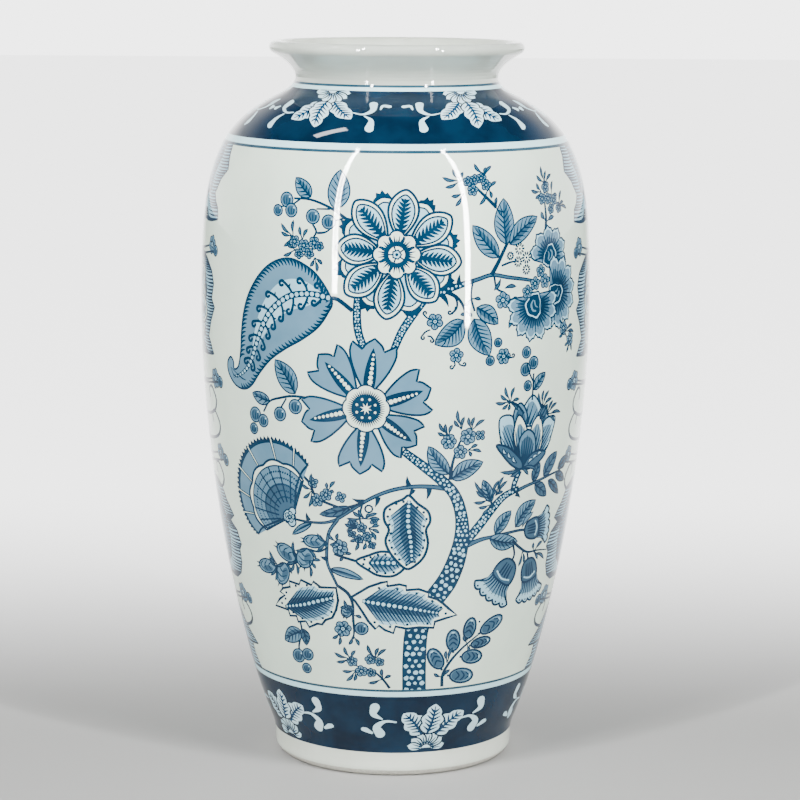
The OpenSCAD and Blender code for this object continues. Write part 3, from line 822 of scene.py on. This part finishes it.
def upper_left_sprigs(art):
    """The leaves, berries and flowers at the upper left."""
    art.stroke([-19.6+281j, -24+284.6j, -31+289j, -41+292.4j, -50+292.6j], 0.9, (1.3, 0.7))
    art.thorn(-21+282.6j, -20+277j, 3)
    art.leaf(-28.4+288.4j, -26.2+307j, 10.6, -0.03, "wash", 5)
    art.leaf(-41+293.6j, -49+302.4j, 7.6, 0.03, "wash", 4)
    art.stroke([-46.6+292.4j, -51+289.6j, -57+288.4j], 0.6, (1, 0.8))
    art.stroke([-31+288.4j, -38+288.2j], 0.6, (1, 0.8), steps=2)
    art.stroke([-24+284.4j, -29+283j], 0.6, (1, 0.8), steps=2)
    for place, size in ((-54+291.8j, 3.5), (-51.4+287j, 3.2), (-59+286.6j, 2.6), (-39.8+284.6j, 3.4),
                        (-31.8+282.4j, 3.3)):
        art.berry(place, size)
    art.stroke([-39.8+281j, -38+277.6j, -40+274j], 0.7, (1, 0.8))
    art.stroke([-37.6+277j, -33.4+277.6j, -30.4+279.6j], 0.7, (1, 0.5))
    for place, size in ((-49.4+272.6j, 2.9), (-44.4+271j, 2.9), (-39+272.4j, 2.9), (-47+267j, 2.4),
                        (-41.6+267.4j, 2.5), (-36.4+271j, 2.2)):
        art.blossom(place, size, 5, 55)
    art.tuft(-50.4+274.6j, [-57+280.6j, -57+276.6j, -50+282.4j, -55.4+270j])
    art.tuft(-49+268.6j, [-55.6+265.6j, -53.4+271.6j])
    art.tuft(-45.4+273.6j, [-46.6+279.6j, -42.4+278.6j])
    art.tuft(-38.6+265.6j, [-37.6+259j, -35+262.6j, -41+261.4j])


def carnations(art):
    carnation(art, 83+264.6j, 60, 128, 13.6, 7, 5.6)
    carnation(art, 88.4+246.4j, -6, 118, 17.4, 8, 5.8)
    carnation(art, 72.4+241.6j, -86, 112, 16.6, 8, 6.2)
    for place, size in ((67.6+248.4j, 3.2), (72.6+252j, 3.2), (79.6+252.6j, 3.4), (76.4+257.6j, 3)):
        art.blossom(place, size, 5, 15)
    art.stroke([92+233j, 96+227.6j, 101+221j], 0.8, (1, 0.6))
    art.blossom(95.6+228.6j, 3.4, 5, 0)
    art.blossom(102.4+222.6j, 3.4, 5, 30)
    art.tuft(97+227j, [104.6+229.4j, 106.6+225.4j, 91.4+224.6j])
    art.tuft(101.6+222j, [99+216.4j, 104.4+216.6j, 97+220j])


def painted_tree():
    """The main picture, as a drawing on the front of the wall."""
    art = Drawing()
    trunk_and_branches(art)
    foot_sprigs(art)
    left_buds(art)
    fan_clusters(art)
    trunk_sprig(art)
    bells(art)
    right_branch_end(art)
    lower_flower_sprig(art)
    stem_sprigs(art)
    upper_right_sprigs(art)
    upper_left_sprigs(art)
    great_leaves(art)
    paisley_leaf(art)
    fan_flower(art)
    scalloped_leaf(art)
    carnations(art)
    lotus_bud(art)
    feather_flower(art, 0.5+268j)
    pod_flower(art, -13.5+195.5j)
    return art


# ---- the tall ornaments at both sides ----


def fringed(art, edge, axis_edge, fill, reach, gap=1.9):
    """One half of a leaf that is symmetrical about the axis, with strokes in from its edge."""
    edge = np.asarray(edge, complex)
    art.shape(np.concatenate([edge, axis_edge]), fill, 0.6)
    length = abs(np.diff(edge)).sum()
    for root in along(edge, np.linspace(0.02, 0.98, round(length / gap))):
        size = min(reach, root.real - 1)
        if size > 2:
            art.stroke([root, root - size * 0.5 - 0.4j, root - size], 0.6, (1.2, 0.2), "deep", 2)


def half_column():
    """The half of a side ornament that lies to the right of its axis."""
    art = Drawing()
    top = 316.4j
    # The stem on the axis and the loops that leave it
    art.limb([1+53j, 1+120j, 1+200j, 1+280j], [3, 3, 2.4], fill="mid")
    for low, high, size in ((76, 88, 33), (146, 158, 32), (172, 184, 36), (184, 196, 34)):
        middle = (low + high) / 2
        art.stroke([0.5 + low * 1j, size * 0.5 + (low - 3) * 1j, size + low * 1j, size + 5 + middle * 1j,
                    size + high * 1j, size - 5 + (high - 1) * 1j, size - 4.6 + middle * 1j], 1.0, (1, 0.7))
        art.thorn(size * 0.5 + (low - 3) * 1j, size * 0.5 - 4 + (low + 3) * 1j)
    # The palmette that hangs from the top
    fringed(art, [33 + top, 37+310j, 42+303j, 37+298j, 33+291j, 36+287j, 40+284j, 42+278.6j,
                  34+277.4j, 27+279j, 22+283j, 17+277j, 10+272j, 0+268j], [top], "pale", 15)
    fringed(art, [24 + top, 27+308j, 24+300j, 25+292j, 18+290j, 12+284j, 5+279j, 0+276j],
            [top], "wash", 9)
    art.shape(curve([0+282j, 8+290j, 12.6+300j, 12+310j, 10 + top, top]), "white", 0.6)
    for low in range(288, 316, 4):
        art.stroke([0.6 + low * 1j, 5 + (low + 2) * 1j, 9 + (low + 6.4) * 1j], 0.7, (1.2, 0.3), "deep")
    # Flowers between the leaves
    for place, size in ((37+266j, 4.6), (42+263.4j, 2.6), (40+201j, 5), (46+200j, 2.8), (37+164j, 4.4),
                        (43+161j, 3), (33+92j, 5), (40+90.6j, 2.8)):
        art.stroke([0.5 + place.imag * 1j - 4j, place * 0.5 + 0.5j * place.imag - 3j, place], 0.9, (1, 0.6))
        if size > 4:
            art.blossom(place, size, 6, 15, "wash")
        else:
            art.berry(place, size)
    # The great leaf beside the open flower
    fringed(art, [20+262j, 29+259j, 38+253j, 40.6+247j, 38+240j, 42+236j, 37+229j, 33+221j,
                  40+213j, 31+212j, 24+217j, 14+208j, 0+205j], [0+262j], "pale", 13)
    fringed(art, [14+258j, 26+252j, 30+244j, 27+236j, 24+228j, 16+219j, 0+212j], [0+258j], "wash", 8)
    # The lower leaf
    fringed(art, [22+150j, 32+146j, 36+140j, 42.4+133j, 37+130j, 43+126j, 45+119j, 42+116j,
                  41+109j, 37+103j, 30+99.6j, 20+101j, 8+96j, 0+95j], [0+150j], "pale", 16)
    fringed(art, [14+145j, 25+140j, 30+131j, 31+120j, 27+110j, 16+104j, 0+101j], [0+145j], "wash", 9)
    # The foot of the ornament
    fringed(art, [15+84j, 24+77j, 29+72j, 36+66j, 28+65j, 27+59j, 31+52j], [0+52j, 0+84j], "pale", 14)
    fringed(art, [9+79j, 17+72j, 19+63j, 18+52j], [0+52j, 0+79j], "wash", 8)
    return art


def side_column():
    """One whole side ornament about its axis at x = 0."""
    half = half_column()
    art = Drawing()
    for tone, outline in half.patches:
        art.patch(tone, outline)
        art.patch(tone, -outline.conj())
    feather_flower(art, 0+236j)
    centre = 0 + 124j
    for angle, reach in ((90, 25), (50, 21), (130, 21), (0, 17), (180, 17), (-45, 19), (225, 19),
                         (-90, 22)):
        art.leaf(centre, centre + reach * turned(angle), 10, 0, "white", 5)
    art.shape(ring(centre, 7, 24), "white", 0.6)
    for spoke in turned(np.arange(0, 360, 15)):
        art.stroke([centre + spoke * 3.4, centre + spoke * 6], 0.6, (1.4, 0.3), "deep", 2)
    art.patch("deep", ring(centre, 3.6, 16))
    art.dots(centre + 2 * turned(72 * np.arange(5)), 0.6, "white")
    return art


# ---- the cobalt bands ----


def swash(art, points, widths, tone="white"):
    """A brush mark whose width follows the list, rounded at a fat end."""
    line = curve(points, steps=5)
    half = np.interp(np.linspace(0, 1, len(line)), np.linspace(0, 1, len(widths)), widths) / 2
    side = sideways(line) * half
    art.patch(tone, np.concatenate([line + side, (line - side)[::-1]]))
    for end, size in ((line[0], half[0]), (line[-1], half[-1])):
        if size > 0.5:
            art.patch(tone, ring(end, size, 14))


def reserve_leaf(art, base, tip, width, lobes=3, bend=0.06):
    """A white leaf left in the cobalt, with a wavy edge and dark veins."""
    reach = tip - base
    unit = reach / abs(reach)
    t = np.linspace(0, 1, 22)

    def place(t, across=0):
        t = np.asarray(t)
        swell = np.sin(np.pi * t ** 0.8) ** 0.6 * (0.84 + 0.24 * abs(np.sin(np.pi * lobes * t)))
        middle = base + reach * (t + 1j * bend * np.sin(np.pi * t))
        return middle + 1j * unit * across * width / 2 * swell

    art.shape(np.concatenate([place(t, 1), place(t[-2:0:-1], -1)]), "white", 0.5, "cobalt")
    art.stroke(place(np.linspace(0.02, 0.9, 5)), 0.8, (1, 0.4), "deep")
    for start in np.linspace(0.12, 0.72, 6):
        for side in (-1, 1):
            art.stroke([place(start), place(start + 0.07, side * 0.35), place(start + 0.13, side * 0.68)],
                       0.62, (1.2, 0.3), "deep", 2)


def half_flower(art, centre, radius, way, petals=7):
    """A flower cut in two by the edge of a band. Its petals fan out along the way."""
    for lean in np.linspace(-78, 78, petals):
        spoke = way * turned(lean)
        size = radius * (1 - 0.08 * abs(lean) / 78)
        t = np.linspace(0, 1, 8)
        side = 1j * spoke * radius * 0.23 * np.sin(np.pi * (0.1 + 0.9 * t) ** 1.5) ** 0.7
        line = centre + spoke * size * (0.16 + 0.84 * t)
        art.shape(np.concatenate([line + side, (line - side)[::-1]]), "white", 0.5, "cobalt")
        for tilt in (-9, 9):
            vein = spoke * size * turned(tilt)
            art.stroke([centre + vein * 0.3, centre + vein * 0.74], 0.45, (1.3, 0.3), "deep", 2)
    cap = centre + radius * 0.24 * way * turned(np.linspace(-90, 90, 9))
    art.shape(cap, "white", 0.5, "cobalt")


def shoulder_motif():
    """The right-hand repeat of the shoulder band, in its own place to the right of the front."""
    art = Drawing()
    reserve_leaf(art, 31+349j, 21.4+335j, 11, 2)
    reserve_leaf(art, 37+347.4j, 55+333.4j, 10.4, 3, -0.05)
    reserve_leaf(art, 34.6+349j, 40.6+328.8j, 11.4, 3)
    half_flower(art, 32.5+358.6j, 11.5, -1j)
    swash(art, [21+340j, 16+338.8j, 11.4+341.8j, 10.8+347.4j], [0.6, 1.1, 2.6, 4.0])
    swash(art, [15.4+337.8j, 12+334.6j, 12.8+329.2j], [0.5, 2.2, 4.3])
    swash(art, [3.4+345.4j, 6.4+345.8j, 7.6+342.6j], [2.2, 1.8, 0.6])
    swash(art, [54+338.4j, 59+338j, 62+341.4j, 58+346.6j], [0.6, 1.2, 2.8, 3.4])
    swash(art, [60.4+337j, 65.4+333.4j, 69+328.8j], [0.6, 1.8, 3.8])
    swash(art, [65.6+342.4j, 69.6+340.4j], [0.8, 2.2])
    return art


def foot_motif():
    """One repeat of the foot band, drawn about the axis of its flower."""
    art = Drawing()
    half_flower(art, 0+17.4j, 10.8, 1j)
    reserve_leaf(art, -3+26j, -13.4+39j, 11.6, 3, -0.06)
    reserve_leaf(art, 4+25.6j, 18.4+38j, 11, 3, 0.06)
    reserve_leaf(art, -0.4+26j, 2.6+43.8j, 11.4, 3, -0.04)
    for side in (-1, 1):
        def mirror(x, s):
            return side * x + s * 1j + (0.6 if side > 0 else 0)
        swash(art, [mirror(16, 33.6), mirror(21.6, 34), mirror(25.4, 30.6), mirror(23.4, 26.6)],
              [0.8, 1.5, 3.8, 4.8])
        swash(art, [mirror(23, 35.2), mirror(27.6, 38), mirror(27.4, 42)], [0.6, 3.2, 4.8])
        swash(art, [mirror(27.6, 27), mirror(30.6, 28.6), mirror(32, 29)], [1.4, 2.6, 2.2])
    return art


# ---- the outline of the wall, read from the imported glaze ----

# Length of the foot's round lower edge that lies under the first glaze
BARE_EDGE = 6.0
# Segments round the whole wall: a whole number for halves, sixths and fifths of a turn
ROUND = 720
# Scale of the flat sheet: millimetres for each radian, near the wall's mean radius
FLAT = 85.0
GLAZES = ("foot_glaze", "foot_band", "ring_lines", "pale_rings", "panel_glaze", "shoulder_band",
          "neck_glaze")
# Profile points closer than this, in millimetres, are one point
SAME_POINT = 0.05
# A bend smaller than this, in radians, is straight
SAME_WAY = 0.0012


def wall_points():
    """The (radius, height) points, in millimetres and from low to high, of the glazes' outer faces."""
    found = {}
    for node in GLAZES:
        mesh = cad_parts[node].data
        for face in mesh.polygons:
            middle = face.center
            outward = face.normal.x * middle.x + face.normal.y * middle.y
            outward /= math.hypot(middle.x, middle.y) + 1e-9
            if outward <= 0.02 or abs(face.normal.z) >= 0.9995:
                continue
            for index in face.vertices:
                spot = mesh.vertices[index].co
                point = complex(math.hypot(spot.x, spot.y), spot.z) / MM
                found[round(point.real, 2), round(point.imag, 2)] = point
    return sorted(found.values(), key=lambda point: point.imag)


def smooth_line(points, spacing=0.5):
    """A smooth line through profile points, with the points that lie on a straight run dropped."""
    points = np.array(points)
    points = points[np.append(True, abs(np.diff(points)) > SAME_POINT)]
    way = np.diff(points)
    bend = np.concatenate([[9], abs(np.angle(way[1:] / way[:-1])), [9]])
    points = points[bend > SAME_WAY]
    way = np.diff(points)
    reach = abs(way)
    slope = way / reach
    inner = (reach[1:] * slope[:-1] + reach[:-1] * slope[1:]) / (reach[1:] + reach[:-1])
    tangent = np.concatenate([[2 * slope[0] - inner[0]], inner, [2 * slope[-1] - inner[-1]]])
    line = [points[0]]
    for k, length in enumerate(reach):
        count = max(1, round(length / spacing))
        t = np.arange(1, count + 1) / count
        ends = points[k] * (1 + 2 * t) * (1 - t) ** 2 + points[k + 1] * (3 - 2 * t) * t * t
        line.extend(ends + length * (tangent[k] * t * (1 - t) ** 2 - tangent[k + 1] * t * t * (1 - t)))
    return np.array(line)


WALL = smooth_line(wall_points())
REACH = BARE_EDGE + np.concatenate([[0], np.cumsum(abs(np.diff(WALL)))])
SIDE = np.gradient(WALL)
SIDE = SIDE / abs(SIDE)


def node_span(node):
    """The lowest and highest climb of a node: millimetres up the wall, along its surface."""
    low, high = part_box(node)
    return [float(np.interp(corner[2] / MM, WALL.imag, REACH)) for corner in (low, high)]


def on_wall(turns, climbs):
    """Places and outward normals of points on the wall; a turn of 0 faces the front."""
    spot = np.interp(climbs, REACH, WALL.real) + 1j * np.interp(climbs, REACH, WALL.imag)
    rise = np.interp(climbs, REACH, SIDE.real) + 1j * np.interp(climbs, REACH, SIDE.imag)
    rise = rise / abs(rise)
    right, back = np.sin(turns), -np.cos(turns)
    places = np.stack([spot.real * right, spot.real * back, spot.imag], 1) * MM
    normals = np.stack([rise.imag * right, rise.imag * back, -rise.real], 1)
    return places, normals


# ---- the painted skin: one sheet of triangles, cut along every brush mark ----


def wrapped(art, turn=0.0):
    """A drawing's patches as (turn, climb) outlines about the given turn."""
    sheets = []
    for tone, outline in art.patches:
        turns = turn + outline.real / np.interp(outline.imag, REACH, WALL.real)
        sheets.append((tone, turns * FLAT + 1j * outline.imag))
    return sheets


def inside(points, outline):
    """Which points lie inside an outline, by its winding."""
    a, b = outline[None, :], np.roll(outline, -1)[None, :]
    p = points[:, None]
    left = ((b - a).conj() * (p - a)).imag > 0
    rising = (a.imag <= p.imag) & (b.imag > p.imag)
    falling = (b.imag <= p.imag) & (a.imag > p.imag)
    return (rising & left).sum(1) != (falling & ~left).sum(1)


def cut_triangles(sheets, turns, rows, cell):
    """Points and triangles of a rectangle that is cut along every outline that reaches into it."""
    low, high = rows[0], rows[-1]
    points = []
    edges = []

    def add(outline):
        first = len(points)
        count = len(outline)
        points.extend(outline)
        edges.extend((first + k, first + (k + 1) % count) for k in range(count))

    add(np.concatenate([turns + 1j * low, turns[-1] + 1j * rows[1:-1], turns[::-1] + 1j * high,
                        turns[0] + 1j * rows[-2:0:-1]]))
    for _, outline in sheets:
        outside = (outline.real.max() < turns[0], outline.real.min() > turns[-1],
                   outline.imag.max() < low, outline.imag.min() > high)
        if not any(outside):
            add(outline)
    step = max(1, round(cell / (turns[1] - turns[0])))
    points.extend((turns[step // 2 + 1:-1:step][None, :] + 1j * rows[1:-1, None]).ravel())
    cut = delaunay_2d_cdt([(p.real, p.imag) for p in points], edges, [], 0, 1e-4, False)
    return np.array([complex(*v) for v in cut[0]]), np.array(cut[2])


def cut_sheet(sheets, ground, start, end, low, high, cell=3.0):
    """Triangles between two turns and two climbs, each with the tone that is painted last on it."""
    columns = round((end - start) / (2 * math.pi) * ROUND)
    turns = np.linspace(start, end, columns + 1) * FLAT
    rows = np.linspace(low, high, max(2, round((high - low) / cell)) + 1)
    flat, faces = cut_triangles(sheets, turns, rows, cell)
    middles = flat[faces].mean(1)
    keep = (middles.real > turns[0]) & (middles.real < turns[-1])
    keep = keep & (middles.imag > low) & (middles.imag < high)
    faces, middles = faces[keep], middles[keep]
    order = np.argsort(middles.imag)
    faces, middles = faces[order], middles[order]
    tones = np.full(len(faces), ground, dtype=object)
    for tone, outline in sheets:
        first, last = np.searchsorted(middles.imag, [outline.imag.min(), outline.imag.max()])
        across = middles.real[first:last]
        near = np.arange(first, last)[(across > outline.real.min()) & (across < outline.real.max())]
        if len(near):
            tones[near[inside(middles[near], outline)]] = tone
    return flat, faces, tones


class Skin:
    """Collects triangles by piece name and turns each set into one smooth mesh object."""

    def __init__(self):
        self.sets = {}

    def add_sheet(self, sheet, names, turns=(0.0,), mirrors=(False,)):
        """Lays a cut sheet on the wall once for each turn, mirrored about turn 0 first where asked."""
        flat, faces, tones = sheet
        for tone in sorted(set(tones)):
            chosen = faces[tones == tone]
            used, compact = np.unique(chosen, return_inverse=True)
            compact = compact.reshape(chosen.shape)
            for mirror in mirrors:
                sign = -1 if mirror else 1
                for turn in turns:
                    places, normals = on_wall(sign * flat[used].real / FLAT + turn, flat[used].imag)
                    self.sets.setdefault(names[tone], []).append((places, normals, compact[:, ::sign]))

    def build(self):
        built = {}
        for name, sets in self.sets.items():
            places, normals, faces = zip(*sets)
            shift = np.cumsum([0] + [len(p) for p in places[:-1]])
            mesh = bpy.data.meshes.new(name)
            mesh.from_pydata(np.concatenate(places).tolist(), [],
                             np.concatenate([f + k for f, k in zip(faces, shift)]).tolist())
            mesh.update()
            mesh.shade_smooth()
            mesh.normals_split_custom_set_from_vertices(np.concatenate(normals).tolist())
            built[name] = bpy.data.objects.new(name, mesh)
            bpy.context.collection.objects.link(built[name])
            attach(built[name], "root")
        return built


PANEL_TONES = {"white": "panel_ground", "pale": "pale_wash", "wash": "light_wash", "mid": "middle_wash",
               "deep": "deep_wash", "ink": "brush_lines"}
BAND_TONES = {"white": "band_reserves", "deep": "band_veins", "cobalt": "band_cobalt"}
# How far to the right of the front the nearest flower of the foot band stands
FOOT_FLOWER = math.radians(15.5)


def build_skin():
    """The panel as two equal halves, the shoulder band as six sixths and the foot band as five fifths."""
    skin = Skin()
    half, sixth, fifth = math.pi / 2, math.pi / 3, 2 * math.pi / 5
    side = side_column()
    sheets = wrapped(side, -half) + wrapped(side, half) + wrapped(painted_tree())
    panel = cut_sheet(sheets, "white", -half, half, *node_span("panel_glaze"))
    skin.add_sheet(panel, PANEL_TONES, (0, math.pi))
    shoulder = cut_sheet(wrapped(shoulder_motif()), "cobalt", 0, sixth, *node_span("shoulder_band"))
    skin.add_sheet(shoulder, BAND_TONES, (0, 2 * sixth, 4 * sixth), (False, True))
    foot = cut_sheet(wrapped(foot_motif()), "cobalt", -fifth / 2, fifth / 2, *node_span("foot_band"))
    skin.add_sheet(foot, BAND_TONES, FOOT_FLOWER + fifth * np.arange(5))
    return skin.build()


pieces = build_skin()


# ---- materials ----


def srgb(red, green, blue):
    """A display colour, each part from 11 to 255, as linear numbers."""
    return tuple(((c / 255 + 0.055) / 1.055) ** 2.4 for c in (red, green, blue))


def new_material(name, roughness):
    material = bpy.data.materials.new(name)
    material.use_nodes = True
    shader = material.node_tree.nodes["Principled BSDF"]
    shader.inputs["Roughness"].default_value = roughness
    shader.inputs["IOR"].default_value = 1.34
    return material, material.node_tree, shader


def noise(tree, scale, detail=2.0, stretch=(1, 1, 1)):
    """A noise pattern in the object's own metres; scale counts its features in a metre."""
    place = tree.nodes.new("ShaderNodeTexCoord")
    stretched = tree.nodes.new("ShaderNodeMapping")
    stretched.inputs["Scale"].default_value = stretch
    pattern = tree.nodes.new("ShaderNodeTexNoise")
    pattern.inputs["Scale"].default_value = scale
    pattern.inputs["Detail"].default_value = detail
    tree.links.new(place.outputs["Object"], stretched.inputs["Vector"])
    tree.links.new(stretched.outputs["Vector"], pattern.inputs["Vector"])
    return pattern.outputs["Fac"]


def ramp(tree, value, stops, blend="LINEAR"):
    """Colours at positions along a value."""
    node = tree.nodes.new("ShaderNodeValToRGB")
    node.color_ramp.interpolation = blend
    tree.links.new(value, node.inputs["Fac"])
    elements = node.color_ramp.elements
    while len(elements) < len(stops):
        elements.new(0.5)
    for element, (position, colour) in zip(elements, stops):
        element.position = position
        element.color = (*colour, 1)
    return node.outputs["Color"]


def steps(tree, value, stops):
    """Grey levels at positions along a value, joined smoothly."""
    return ramp(tree, value, [(position, (level, level, level)) for position, level in stops], "EASE")


def bump(tree, shader, height, strength, distance):
    node = tree.nodes.new("ShaderNodeBump")
    node.inputs["Strength"].default_value = strength
    node.inputs["Distance"].default_value = distance
    tree.links.new(height, node.inputs["Height"])
    tree.links.new(node.outputs["Normal"], shader.inputs["Normal"])


def glaze(name, light, dark, scale=60, stretch=(1, 1, 1)):
    """A glossy glaze whose colour pools between two shades, over a faintly uneven surface."""
    material, tree, shader = new_material(name, 0.04)
    colour = ramp(tree, noise(tree, scale, 4, stretch), [(0.32, dark), (0.62, light)])
    tree.links.new(colour, shader.inputs["Base Color"])
    bump(tree, shader, noise(tree, 45, 1), 0.02, 0.001)
    return material


def clay(name, light, dark):
    """Bare fired clay: matt, with a fine grain."""
    material, tree, shader = new_material(name, 0.75)
    colour = ramp(tree, noise(tree, 900, 4), [(0.35, dark), (0.65, light)])
    tree.links.new(colour, shader.inputs["Base Color"])
    bump(tree, shader, noise(tree, 1400, 3), 0.25, 0.0003)
    return material


def paint(piece, material):
    piece.data.materials.clear()
    piece.data.materials.append(material)


# The light and the dark shade of each painted tone
PAINTS = {
    "panel_ground": ((0.70, 0.83, 0.70), (0.66, 0.79, 0.67)),
    "pale_wash": ((0.36, 0.60, 0.70), (0.28, 0.52, 0.64)),
    "light_wash": ((0.115, 0.23, 0.32), (0.085, 0.19, 0.275)),
    "middle_wash": ((0.036, 0.092, 0.15), (0.024, 0.07, 0.12)),
    "deep_wash": ((0.003, 0.030, 0.070), (0.001, 0.020, 0.050)),
    "brush_lines": ((0.003, 0.026, 0.062), (0.001, 0.017, 0.044)),
    "band_reserves": ((0.55, 0.76, 0.82), (0.46, 0.70, 0.79)),
    "band_veins": ((0.004, 0.035, 0.085), (0.002, 0.022, 0.06)),
    "band_cobalt": ((0.0018, 0.0180, 0.043), (0.0007, 0.0090, 0.024)),
}
for name, piece in pieces.items():
    paint(piece, glaze(name, *PAINTS[name]))
white_glaze = glaze("clear_glaze_skin", (0.69, 0.74, 0.65), (0.62, 0.67, 0.58))
# The neck's glaze is painted darker and greyer than the lip's white glaze: painted shade for the shadow
# under the rolled lip, over a streaky noise.
neck_glaze = glaze("neck_painted_shade_skin", (0.56, 0.61, 0.545), (0.44, 0.48, 0.43), 14, (1, 1, 7))
pale_glaze = glaze("pale_blue_skin", (0.56, 0.85, 0.90), (0.50, 0.80, 0.88))
line_glaze = glaze("line_blue_skin", (0.03, 0.075, 0.11), (0.012, 0.045, 0.075))
bare = clay("bare_clay_skin", srgb(196, 194, 184), srgb(176, 174, 164))
body = clay("clay_body_skin", srgb(204, 202, 192), srgb(188, 186, 176))
slip = clay("slip_joint_skin", srgb(190, 186, 174), srgb(172, 168, 156))
SURFACES = {
    "foot_ring": bare, "base_slab": body, "lower_body": body, "upper_body": body, "neck_collar": body,
    "base_lute": slip, "waist_lute": slip, "shoulder_lute": slip, "neck_lute": slip,
    "rolled_lip": white_glaze, "inner_glaze": white_glaze, "underside_glaze": white_glaze,
    "foot_glaze": white_glaze, "neck_glaze": neck_glaze, "pale_rings": pale_glaze, "ring_lines": line_glaze,
}
for node, material in SURFACES.items():
    paint(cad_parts[node], material)

for tone in PANEL_TONES.values():
    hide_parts("panel_glaze")
for tone in BAND_TONES.values():
    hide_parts("shoulder_band", "foot_band")

# ---- floor, light and camera ----

FLOOR_TONES = srgb(156, 156, 154), srgb(162, 162, 160)
# Brightness of the floor's painted glow, a pool of light given to the floor as emission, and of the walls
FLOOR_GLOW = 3.2
WALL_LIGHT = 4.2
# Half the width of the floor, and how far the standing lights are from the vase's axis
FLOOR_REACH = 9
LIGHT_REACH = 0.9
CAMERA_PLACE = (0, -1.39, 0.4016)
PITCH = math.radians(9.156)
ROLL = math.radians(0.35)


def light_box(name, place, target, width, height, brightness, soft=True):
    """A rectangle of even brightness that faces a target. If not soft, it only shows as a reflection."""
    lamp = bpy.data.lights.new(name, "AREA")
    lamp.shape = "RECTANGLE"
    lamp.size = width
    lamp.size_y = height
    lamp.energy = brightness * math.pi * width * height
    light = bpy.data.objects.new(name, lamp)
    light.location = place
    light.rotation_euler = (Vector(target) - Vector(place)).to_track_quat("-Z", "Y").to_euler()
    light.visible_diffuse = soft
    bpy.context.collection.objects.link(light)


def tall_box(name, azimuth, low, high, width, brightness, soft=True):
    """A standing strip of light beside the camera, between two heights."""
    turn = math.radians(azimuth)
    middle = (low + high) / 2
    place = (LIGHT_REACH * math.sin(turn), -LIGHT_REACH * math.cos(turn), middle)
    light_box(name, place, (0, 0, middle), width, high - low, brightness, soft)


def arithmetic(tree, operation, *values):
    node = tree.nodes.new("ShaderNodeMath")
    node.operation = operation
    for socket, value in zip(node.inputs, values):
        if isinstance(value, (int, float)):
            socket.default_value = value
        else:
            tree.links.new(value, socket)
    return node.outputs[0]


def position(tree, kind):
    """The X, Y and Z of a texture coordinate."""
    place = tree.nodes.new("ShaderNodeTexCoord")
    parts = tree.nodes.new("ShaderNodeSeparateXYZ")
    tree.links.new(place.outputs[kind], parts.inputs[0])
    return parts.outputs


def studio_floor():
    """A pale floor that glows behind the vase: a painted pool of light that widens away from the camera."""
    material, tree, shader = new_material("pale_floor", 0.7)
    colour = ramp(tree, noise(tree, 3, 2), [(0.3, FLOOR_TONES[0]), (0.7, FLOOR_TONES[1])])
    tree.links.new(colour, shader.inputs["Base Color"])
    across, away, _ = position(tree, "Object")
    back = steps(tree, away, [(0.0, 0.0), (0.7, 1.0)])
    reach = arithmetic(tree, "ADD", away, 1.4)
    aside = arithmetic(tree, "DIVIDE", arithmetic(tree, "ABSOLUTE", across), reach)
    painted_glow_pool = arithmetic(tree, "MULTIPLY", back, steps(tree, aside, [(0.17, 1.0), (0.42, 0.0)]))
    # The floor's emission is painted light: a glowing pool where lamps would have lit the floor.
    tree.links.new(arithmetic(tree, "MULTIPLY", painted_glow_pool, FLOOR_GLOW), shader.inputs["Emission Strength"])
    shader.inputs["Emission Color"].default_value = (1, 1, 1, 1)
    corners = [(x * FLOOR_REACH, y * FLOOR_REACH, 0) for x, y in ((-1, -1), (1, -1), (1, 1), (-1, 1))]
    mesh = bpy.data.meshes.new("floor")
    mesh.from_pydata(corners, [], [(0, 1, 2, 3)])
    mesh.materials.append(material)
    floor = bpy.data.objects.new("floor", mesh)
    bpy.context.collection.objects.link(floor)


def studio_walls():
    """Light from all round: pale walls at the sides and back, and a dark room in front and above."""
    world = bpy.data.worlds.new("studio")
    bpy.context.scene.world = world
    world.use_nodes = True
    tree = world.node_tree
    _, away, up = position(tree, "Generated")
    depth = arithmetic(tree, "MULTIPLY_ADD", away, 0.5, 0.5)
    walls = steps(tree, depth, [(0.25, 0.01), (0.42, 0.05), (0.56, 0.3), (0.75, 0.8), (0.9, 1.0)])
    cap = steps(tree, up, [(0.12, 1.0), (0.36, 0.35), (0.66, 0.03)])
    level = arithmetic(tree, "MULTIPLY", arithmetic(tree, "MULTIPLY", walls, cap), WALL_LIGHT)
    background = tree.nodes["Background"]
    background.inputs["Color"].default_value = (1, 1, 1, 1)
    tree.links.new(level, background.inputs["Strength"])


def studio_lights():
    """On each side a strip that brightens upwards and its sharp reflection, and one window above."""
    for side, azimuth, foot in (("left", -33.5, 0.17), ("right", 40, 0.12)):
        tall_box(side + "_light", azimuth, 0.25, 0.9, 0.027, 200)
        tall_box(side + "_top_light", azimuth, 0.9, 1.5, 0.027, 430)
        tall_box(side + "_glint", azimuth, foot, 1.5, 0.046, 420, soft=False)
    light_box("window_glint", (-0.72, -0.03, 1.72), (0, 0, 0.3), 0.13, 0.42, 40, soft=False)


def studio_camera():
    data = bpy.data.cameras.new("camera")
    data.lens = 126.6
    data.sensor_width = 36
    data.shift_x = 0.0065
    camera = bpy.data.objects.new("camera", data)
    bpy.context.collection.objects.link(camera)
    camera.location = CAMERA_PLACE
    aim = Matrix.Rotation(math.pi / 2 - PITCH, 3, "X") @ Matrix.Rotation(ROLL, 3, "Z")
    camera.rotation_euler = aim.to_euler()
    bpy.context.scene.camera = camera


studio_floor()
studio_walls()
studio_lights()
studio_camera()
